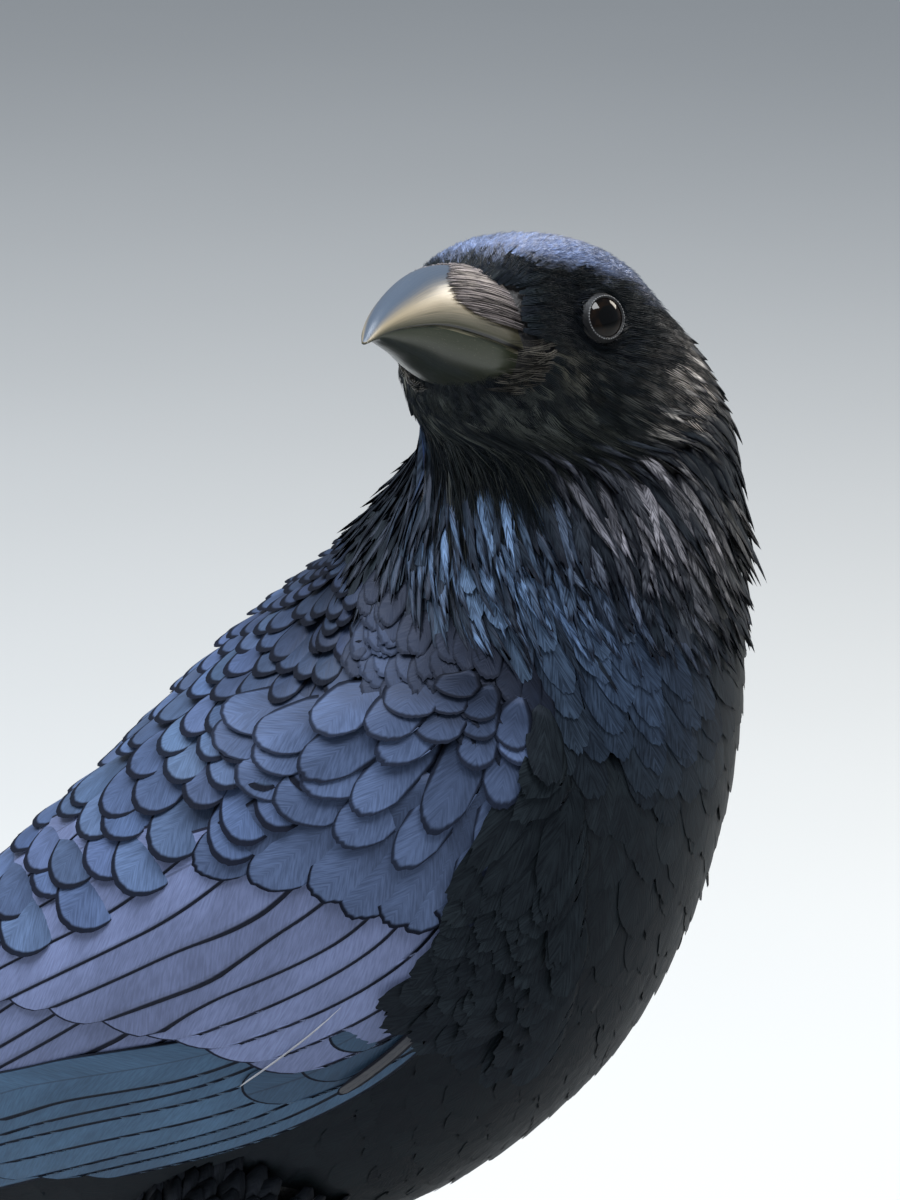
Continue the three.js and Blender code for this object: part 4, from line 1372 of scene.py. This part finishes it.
def body_feathers(coat, dressed):
    """Belly and rump on the bare coat, and the breast on the one that has the wings in it."""
    rng = np.random.default_rng(13)
    shape = scale_vane(17, 5, 0.42)
    for name, chart, low, high in (("belly_coat", coat, 0.35, 5.2), ("breast_coat", dressed, 5.0, 7.3)):
        body = Coat(name, "body_plumage", CONTOUR)
        p, q = scatter(chart, (low, high), lambda s: (np.pi - np.radians(breast_reach(s)),
                                                      np.pi + np.radians(breast_reach(s))), 4.3, rng)
        count = len(p)
        off = np.abs(np.degrees(q) - 180)
        flank = np.clip((off - 45) / 12, 0, 1) * np.clip((p - 6.4) / 0.1, 0, 1)
        rump = np.clip((off - 100) / 30, 0, 1) * np.clip((1.8 - p) / 0.5, 0, 1)
        length = np.interp(p, [0.3, 1, 3, 5.5, 7.2], [18, 22, 23, 20, 15]) * rng.uniform(0.9, 1.1, count)
        width = np.interp(p, [0.3, 3, 5.5, 7.2], [5.0, 5.2, 4.6, 3.4]) * (1 - 0.3 * flank)
        end = tips(chart, p, q, length * (1 - 0.4 * flank), 7 * wander(p, q, 7) + rng.normal(0, 4, count))
        upper = np.clip((p - 5.2) / 1.0, 0, 1)
        # Painted sheen: brown on the side of the breast that faces the low light, and the neck's sheen
        # carried over the upper breast.
        brown = upper * hump(np.degrees(q), 140, 28)
        spark = rng.uniform(0.85, 1.15, count)
        tint = lit((0.0035, 0.0055, 0.0058), (upper, (0.006, 0.0075, 0.0085)), (brown, (0.02, 0.018, 0.013)),
                   (rump, SLATE * 0.6))
        tint = (tint + painted_neck_sheen(*end)) * column(spark)
        lift = (-coat_depth(p) * 0.6, rng.uniform(-0.35, -0.15, count))
        body.add(chart, shape, (p, q), end, width, lift, tint, rng, thick=0.1, ragged=0.016, barb_angle=20.0,
                 fringe=0.0)
        body.build()


def along(points, share):
    """Points spread evenly by number along a bent line."""
    points = np.asarray(points, float)
    place = np.asarray(share) * (len(points) - 1)
    return tuple(np.interp(place, np.arange(len(points)), points[:, k]) for k in range(2))


def mantle_edge(s):
    """Where the scapulars end over the wing, in degrees from the ridge of the back."""
    return np.radians(np.interp(s, [0.8, 2, 3, 3.7, 4.4, 5.1, 5.7, 6.2, 6.5],
                                [22, 32, 42, 50, 60, 71, 82, 86, 72]))


def mantle_size(s):
    """The width of a feather's visible part."""
    return np.interp(s, [1.0, 3.6, 4.8, 5.6, 6.5], [9.5, 11.5, 9.5, 7.0, 4.6])


def mantle_feathers(chart):
    """The back's scales and the scapulars, which grow towards the wing and lie over its root."""
    rng = np.random.default_rng(21)
    mantle = Coat("mantle_coat", "body_plumage", MANTLE)
    p, q = quincunx(chart, (0.3, 6.6), lambda s: (2 * np.pi - mantle_edge(s), 2 * np.pi + mantle_edge(s)),
                    lambda s: 0.68 * mantle_size(s), mantle_size, rng, 0.18)
    count = len(p)
    off = (q - 2 * np.pi) / mantle_edge(p)
    size = mantle_size(p) * rng.uniform(0.92, 1.1, count) * (1 + 0.12 * np.abs(off))
    turn = 18 * np.clip(off * 1.3, -1, 1) + 5 * wander(p, q, 8) + rng.normal(0, 3, count)
    end = tips(chart, p, q, size * np.interp(p, [2, 4], [2.6, 2.0]), turn)
    over = np.clip((6.4 - p) / 0.8, 0, 1) * np.clip(np.abs(off) * 2 - 0.2, 0, 1)
    over = over * np.interp(p, [2, 4.5], [0.9, 1])
    # The mantle's slate blue is partly its own gloss and partly a painted sheen of light from above.
    tint = np.array([0.078, 0.116, 0.21]) * column(rng.uniform(0.65, 1.15, count))
    tint = tint * rng.normal(1, 0.025, (count, 3)) * column(np.interp(p, [5.4, 6.3], [1, 0.3]))
    lift = (np.interp(p, [2, 4.5], [-1.4, -3.0]) + 1.2 * over, rng.uniform(-0.1, 0.2, count) + 1.9 * over)
    mantle.add(chart, scale_vane(21, 7, 0.42), (p, q), end, size * 0.72, lift, tint, rng, thick=0.4,
               ragged=0.004)
    mantle.build()


def shoulder_feathers(chart):
    """Small dark scales over the top of the folded wing, between the scapulars and the breast."""
    rng = np.random.default_rng(22)
    shoulder = Coat("shoulder_coat", "wing_plumage", COVERT)
    for _, side in SIDES:
        p, off = scatter(chart, (6.3, 6.75), (np.radians(42), np.radians(98)), 2.6, rng)
        q = np.pi + side * off
        count = len(p)
        end = tips(chart, p, q, rng.uniform(9, 11, count), side * 14 + rng.normal(0, 6, count))
        pale = 0.13 + 0.6 * hump(np.degrees(off), 88, 8) * hump(p, 6.5, 0.14)
        width = rng.uniform(2.2, 2.8, count) + pale
        shoulder.add(chart, scale_vane(15, 6, 0.42), (p, q), end, width, (-1.2, rng.uniform(0.4, 0.8, count)),
                     SLATE * column(pale), rng, thick=0.15, ragged=0.02, fringe=0.5)
    shoulder.build()


def pale_shoulder(u, v):
    """How much paler the small coverts are over the bend of the wing."""
    return 1 + 1.6 * hump(u, 0.5, 0.25) * hump(v, 0.88, 0.15)


VANE_THICK = 0.04                     # long feathers are thin, so that the edge of each shows over the next
LOOSE = 0.015                         # how far the ends of a row stray


def feather_row(coat, chart, shape, count, roots, ends, width, lift, step, tint, rng, **more):
    """A row of feathers from its lowest, which lies undermost, to its uppermost. Roots and ends lie
    on bent lines of (u, v), and each feather lies a step above the one before."""
    share = np.linspace(0, 1, count)
    start, end = along(roots, share), along(ends, share)
    start = (start[0] + rng.normal(0, 0.01, count), start[1] + rng.normal(0, 0.006, count))
    end = (end[0] + rng.normal(0, LOOSE, count), end[1] + rng.normal(0, LOOSE * 0.4, count))
    stack = np.arange(count) * step
    tint = np.asarray(tint) * column(rng.uniform(0.88, 1.12, count))
    coat.add(chart, shape, start, end, width, (lift[0] + stack, lift[1] + stack), tint, rng,
             **{"thick": VANE_THICK, "ragged": 0.0, **more})


def flight_rows(side_name, chart, rng):
    """Primaries and secondaries, folded over each other."""
    flight = Coat(f"flight_{side_name}", "flight_feathers", FLIGHT,
                  [f"secondaries_{side_name}", f"primaries_{side_name}"])
    feather_row(flight, chart, blade_vane(13, 60, 0.06), 9, [(2.7, 0.97), (3.2, 0.9), (3.6, 0.8)],
                [(7.7, 0.93), (8.6, 0.9), (8.95, 0.8), (8.9, 0.66), (8.5, 0.5), (8.1, 0.45), (7.7, 0.4),
                 (7.3, 0.4)],
                [6.2, 6.8, 7.0, 7.2, 7.4, 7.6, 7.8, 8.0, 8.0], (-1.7, -1.5), 0.09, TEAL * 0.85, rng,
                barb_angle=28)
    feather_row(flight, chart, blade_vane(13, 50, 0.1), 12,
                [(2.6, 0.84), (3.0, 0.66), (3.4, 0.42), (3.4, 0.2)],
                [(5.5, 0.8), (6.1, 0.66), (6.5, 0.54), (6.8, 0.4), (6.4, 0.26), (5.9, 0.16)],
                9.0, (-0.95, -0.75), 0.09, VIOLET * 0.9, rng, barb_angle=32)
    flight.build()


def covert_rows(side_name, chart, rng):
    """Primary coverts, alula and greater coverts. On the right wing one pale feather is pushed out
    below them, and one pale shaft lies bare on the primary coverts."""
    coverts = Coat(f"coverts_{side_name}", "wing_plumage", FLIGHT, [f"wing_{side_name}"])
    feather_row(coverts, chart, blade_vane(13, 40, 0.12), 7, [(2.0, 0.99), (2.2, 0.93), (2.6, 0.84)],
                [(4.1, 0.995), (4.6, 0.96), (4.65, 0.87), (4.4, 0.78)], 4.6, (-1.15, -0.9), 0.1, TEAL, rng,
                barb_angle=28)
    feather_row(coverts, chart, blade_vane(11, 30, 0.16), 3, [(1.6, 0.99), (1.55, 0.94)],
                [(3.0, 0.95), (2.7, 0.94), (2.5, 0.92)], [5.2, 4.8, 4.4], (-1.3, -0.3), 0.12, TEAL * 0.6, rng,
                barb_angle=30)
    feather_row(coverts, chart, blade_vane(15, 44, 0.14), 11,
                [(1.0, 0.94), (1.1, 0.82), (1.3, 0.72), (1.5, 0.62), (1.9, 0.5), (2.4, 0.36), (2.9, 0.2)],
                [(2.86, 0.87), (3.02, 0.79), (3.2, 0.72), (3.5, 0.62), (3.9, 0.5), (4.3, 0.36), (4.6, 0.2)],
                7.6, (-0.35, -0.1), 0.12, VIOLET, rng, barb_angle=34)
    if side_name == "right":
        sliver = blade_vane(7, 14, 0.1, 0.12)
        feather_row(coverts, chart, sliver, 1, [(1.75, 0.975)], [(2.66, 1.005)], 1.25, (-0.8, 1.0), 0,
                    GREY_VANE * 0.5, rng, thick=0.3, barb_angle=20)
        feather_row(coverts, chart, sliver, 1, [(2.3, 0.865)], [(2.95, 0.905)], 0.17, (0.25, 0.45), 0,
                    PALE_SHAFT, rng, thick=0.2, **HAIR)
    coverts.build()


def lesser_size(u):
    """The width of a small covert's visible part."""
    return np.interp(u, [-0.3, 1.2], [4.6, 8.0])


def small_covert_rows(side_name, chart, rng):
    """Median coverts, and the small scales of the shoulder above them."""
    small = Coat(f"lesser_{side_name}", "wing_plumage", COVERT, [f"wing_{side_name}"])
    scale = scale_vane(19, 6, 0.3)
    feather_row(small, chart, scale, 9, [(0.5, 0.92), (0.6, 0.86), (0.8, 0.76), (1.0, 0.64), (1.4, 0.48)],
                [(1.5, 0.93), (1.68, 0.87), (1.84, 0.78), (1.95, 0.67), (2.3, 0.5)], 5.6, (-0.6, 0.3), 0.1,
                SLATE * 1.15, rng, thick=0.3, ragged=0.005)
    p, q = quincunx(chart, (-0.35, 1.3), (0.12, 1.0), lambda u: 0.62 * lesser_size(u), lesser_size, rng, 0.2)
    keep = (p < 0.5 + 1.4 * (1 - q)) & (q < np.interp(p, [-0.1, 0.3], [1.0, 0.9]))
    p, q = p[keep], q[keep]
    count = len(p)
    size = lesser_size(p) * rng.uniform(0.92, 1.1, count)
    end = tips(chart, p, q, size * 2.1, 35 * (1 - q) * np.clip(1.2 - p, 0, 1) + rng.normal(0, 5, count))
    shade = np.interp(end[0], [0.0, 0.4, 1.2], [0.25, 0.5, 1.05]) * pale_shoulder(*end)
    shade = shade * rng.uniform(0.8, 1.15, count)
    # Upper scales ride on the ones below them, and the last ones on the median coverts.
    pile = 1.3 * np.maximum(0.95 - q, 0) * np.clip((end[0] - 0.5) / 0.6, 0, 1)
    rise = np.interp(end[0], [0.2, 0.6, 1.0, 1.6], [-0.2, 0.5, 0.9, 1.1]) + pile + rng.uniform(0, 0.12, count)
    small.add(chart, scale, (p, q), end, size * 0.68, (-1.8, rise), SLATE * column(shade), rng, thick=0.3,
              ragged=0.006, fringe=0.9)
    small.build()


def breast_edge(u):
    """How far up the folded wing the breast feathers lie."""
    return np.interp(u, [0.2, 0.7, 1.3, 1.9, 2.3], [1.02, 0.93, 0.91, 0.87, 0.9])


def edge_feathers(side_name, chart):
    """Breast feathers that sweep back over the front edge of the folded wing."""
    rng = np.random.default_rng(32)
    edge = Coat(f"edge_coat_{side_name}", "body_plumage", CONTOUR, [f"wing_{side_name}"])
    p, q = scatter(chart, (-0.45, 1.9), lambda u: (breast_edge(u + 0.5) + 0.06, np.full_like(u, 1.25)),
                   3.0, rng)
    count = len(p)
    end = tips(chart, p, q, rng.uniform(15, 17, count), -19 + rng.normal(0, 5, count))
    lift = (np.interp(q, [0.95, 1.2], [-0.6, -3.8]), 2.0 + rng.uniform(0, 0.25, count))
    tint = np.array([0.009, 0.0125, 0.0145]) * column(rng.uniform(0.8, 1.2, count))
    edge.add(chart, scale_vane(17, 6, 0.42), (p, q), end, 3.6, lift, tint, rng, thick=0.12, ragged=0.02,
             barb_angle=20.0, fringe=0.0)
    edge.build()


def wing_feathers(side_name, side):
    """All that lies on one folded wing, from the undermost row to the uppermost."""
    chart = wing_chart(side)
    rng = np.random.default_rng(31)
    for rows in (flight_rows, covert_rows, small_covert_rows):
        rows(side_name, chart, rng)
    edge_feathers(side_name, chart)


def tail_feathers():
    """Twelve tail feathers, the middle pair on top, with their coverts over and under them."""
    rng = np.random.default_rng(41)
    tail = Coat("tail_coat", "tail_feathers", FLIGHT, ["tail"])
    spread = np.array([5, -5, 4, -4, 3, -3, 2, -2, 1, -1, 0.4, -0.4]) / 5
    start = (np.full(12, 0.03), spread * 10)
    end = (1 - 0.03 * np.abs(spread) ** 2, np.sign(spread) * np.abs(spread) ** 0.85 * 20.5)
    stack = np.linspace(-2.0, 0.1, 12)
    tail.add(tail_chart(1), blade_vane(9, 30, 0.045, 0.6), start, end, 9.0, (stack - 0.2, stack),
             TEAL * 0.6, rng, thick=VANE_THICK, ragged=0.0, barb_angle=30)
    tail.build()
    # Painted light: the same slate is paler on the coverts over the tail, which face the light, and darker on
    # those under it, in painted shade.
    layers = ((1, 0.3, "tail_coverts_over", 0.5), (-1, 0.36, "tail_coverts_under", 0.2))
    for layer, reach, name, shade in layers:
        chart = tail_chart(layer)
        over = Coat(name, "tail_feathers", CONTOUR, ["tail"])
        p, q = scatter(chart, (-0.12, reach), (-15, 15), 4.6, rng)
        end = tips(chart, p, q, 22.0, q * 0.5)
        over.add(chart, scale_vane(15, 6, 0.3), (p, q), end, 5.0, (-1.8, 1.2 - 1.6 * np.maximum(p, 0)),
                 SLATE * shade, rng, thick=0.3, ragged=0.008, fringe=0.8)
        over.build()


def thigh_feathers(side_name, side):
    """Narrow feathers down the thigh, shortest at the heel."""
    rng = np.random.default_rng(51)
    chart = limb_chart(THIGH, side)
    thigh = Coat(f"thigh_coat_{side_name}", "body_plumage", CONTOUR, [f"thigh_{side_name}"])
    p, q = scatter(chart, (0.1, 3.55), ALL_ROUND, 3.0, rng)
    length, width = (np.interp(p, [0, 2, 3.6], sizes) for sizes in ([22, 16, 9], [2.6, 2.2, 1.5]))
    end = tips(chart, p, q, length, rng.normal(0, 5, len(p)))
    thigh.add(chart, scale_vane(11, 4, 0.5), (p, q), end, width, (-1.4, rng.uniform(-0.3, -0.1, len(p))),
              (0.008, 0.0095, 0.011), rng, thick=0.12, ragged=0.04, fringe=0.0)
    thigh.build()


# ---- Legs ----
CLAW_SIZES = [10, 11, 9.5, 13.5]      # lengths, in the order of the toes
CLAW_SWEEP = math.radians(62)
CLAW_GAP, CLAW_LIFT = 0.25, 0.35      # from the toe's end, and from the floor
CLAW_POINT = 0.22                     # half width at the tip


def build_claw(name, side, toe, size):
    """A claw along an arc from the toe's end down to the floor, grooved beneath."""
    outwards, length, half = toe
    forward, up, left = axes(-side * outwards, 0.0)
    base, radius = half * 0.78, size / CLAW_SWEEP
    start = max(radius * (1 - math.cos(CLAW_SWEEP)) + 0.3 + CLAW_LIFT, base + CLAW_LIFT)
    t = np.linspace(-0.25, 1, 28)[:, None]
    angle = np.radians(np.arange(0, 360, 15))[None, :]
    half_size = base + (CLAW_POINT - base) * np.maximum(t, 0) ** 0.9
    groove = 1 - 0.12 * np.maximum(0, -np.cos(angle)) ** 4
    out = radius + np.cos(angle) * half_size * groove
    points = (np.array([side * LEG_SPREAD, FOOT_Y, 0.0])
              + (length + CLAW_GAP + out * np.sin(CLAW_SWEEP * t))[..., None] * forward
              + (start - radius + out * np.cos(CLAW_SWEEP * t))[..., None] * up
              + (np.sin(angle) * half_size * 0.8)[..., None] * left)
    uv = np.stack(np.broadcast_arrays(t, 0.5 + 0.5 * np.cos(angle)), -1).reshape(-1, 2)
    made = solid(name + "_horn", to_metres(points), tube_faces(*points.shape[:2]), CLAW_HORN, uv)
    belongs(made, [name])


def build_scutes(side_name, side):
    """Overlapping plates down the front of the shank and along each toe."""
    rng = np.random.default_rng(61)
    plates = Coat(f"scutes_{side_name}", "leg_scales", LEG_SCUTE)
    plate, dark = blade_vane(13, 4, 0.1, 0.92), (0.02, 0.02, 0.02)
    p, front = np.linspace(0.3, 4.75, 15), np.full(15, np.pi)
    width = np.interp(p, [0.3, 1.6, 3.4, 4.8], [3.6, 3.0, 3.0, 4.6])
    plates.add(limb_chart(TARSUS, side), plate, (p, front), (p + 0.46, front), width, (-0.15, 0.35), dark,
               rng, thick=0.3, ragged=0.0)
    for toe in TOES:
        _, length, half = toe
        rings = toe_rings(side, *toe)
        chart = Chart(np.concatenate([rings, rings[:, :1]], 1), (0, 1), ALL_ROUND, flow=1, hand=-1)
        p = np.linspace(0.04, 0.9, int(length / 2.5))
        top = np.zeros_like(p)
        plates.add(chart, plate, (p, top), (p + 3.6 / length, top), half * 0.82, (-0.15, 0.25), dark, rng,
                   thick=0.22, ragged=0.0)
    plates.build()


# ---- Floor, light and camera ----
VIEW_BACK = np.array([-0.871, -0.406, 0.2756])    # from the bird towards the camera
VIEW_RIGHT = np.array([0.4226, -0.9063, 0.0])
VIEW_UP = np.cross(VIEW_BACK, VIEW_RIGHT)
VIEW_DISTANCE = 1000.0
EYE_OFF_CENTRE = (27.07, 48.10)       # where the eye stands in the picture, at its own distance
LENS = 174.0


def build_camera():
    """A long lens, a metre from the nearer eye, which stands where the photo has it."""
    place = in_head(18.3, 1.0, 1.0) + VIEW_BACK * VIEW_DISTANCE
    place = place - VIEW_RIGHT * EYE_OFF_CENTRE[0] - VIEW_UP * EYE_OFF_CENTRE[1]
    data = bpy.data.cameras.new("camera")
    data.lens, data.sensor_width, data.sensor_fit = LENS, 36.0, "AUTO"
    data.clip_start, data.clip_end = 0.01, 50.0
    camera = put("camera", data)
    turn = Matrix((VIEW_RIGHT, VIEW_UP, VIEW_BACK)).transposed().to_4x4()
    camera.matrix_world = Matrix.Translation(Vector(to_metres(place)[0])) @ turn
    bpy.context.scene.camera = camera


# Lights: place and aim in metres, shape, size, power and colour.
LIGHTS = {
    "sky_panel": ((-0.25, 0.35, 1.3), (0, 0, 0.2), "DISK", 1.1, 24.0, (0.86, 0.92, 1.0)),
    "low_sun": ((0.76, -0.5, 0.66), (0, 0, 0.26), "SQUARE", 0.3, 4.0, (1.0, 0.93, 0.82)),
    "window": ((-0.28, -0.56, 1.26), (0, -0.1, 0.25), "SQUARE", 0.4, 9.0, (0.95, 0.97, 1.0)),
}


def build_stage():
    """A pale floor, a dim sky and three soft lights."""
    mesh = bpy.data.meshes.new("floor")
    mesh.from_pydata([(-6, -6, 0), (6, -6, 0), (6, 6, 0), (-6, 6, 0)], [], [(0, 1, 2, 3)])
    n = Nodes("pale_floor")
    tone = n.mix(n.noise(n.place(), 3.0), (0.6, 0.6, 0.58), (0.64, 0.64, 0.62))
    mesh.materials.append(n.finish(Base_Color=tone, Roughness=0.9))
    put("floor", mesh)
    world = bpy.data.worlds.new("studio")
    world.use_nodes = True
    colour, strength = world.node_tree.nodes["Background"].inputs[:2]
    colour.default_value, strength.default_value = (0.75, 0.85, 1.0, 1.0), 0.28
    bpy.context.scene.world = world
    for name, (place, aim, shape, size, energy, tint) in LIGHTS.items():
        data = bpy.data.lights.new(name, "AREA")
        data.shape, data.size, data.energy, data.color = shape, size, energy, tint
        put(name, data).matrix_world = facing(place, Vector(aim) - Vector(place), "-Z")
    bpy.context.scene.view_settings.view_transform = "Standard"


# ---- Assembly ----
coat = coat_chart(False)
dressed = coat_chart(True)
build_camera()
build_stage()
build_lids(build_skin(coat))
for side_name, side in SIDES:
    build_eye(side_name, side)
build_bill("bill_upper", True)
build_bill("bill_lower", False)
head_feathers(coat)
crown_feathers(coat)
bristles()
rictal_hairs(coat)
neck_feathers(coat)
body_feathers(coat, dressed)
mantle_feathers(dressed)
shoulder_feathers(dressed)
for side_name, side in SIDES:
    wing_feathers(side_name, side)
    thigh_feathers(side_name, side)
    build_scutes(side_name, side)
    for number, (toe, size) in enumerate(zip(TOES, CLAW_SIZES)):
        build_claw(f"claw_{side_name}_{number + 1}", side, toe, size)
tail_feathers()
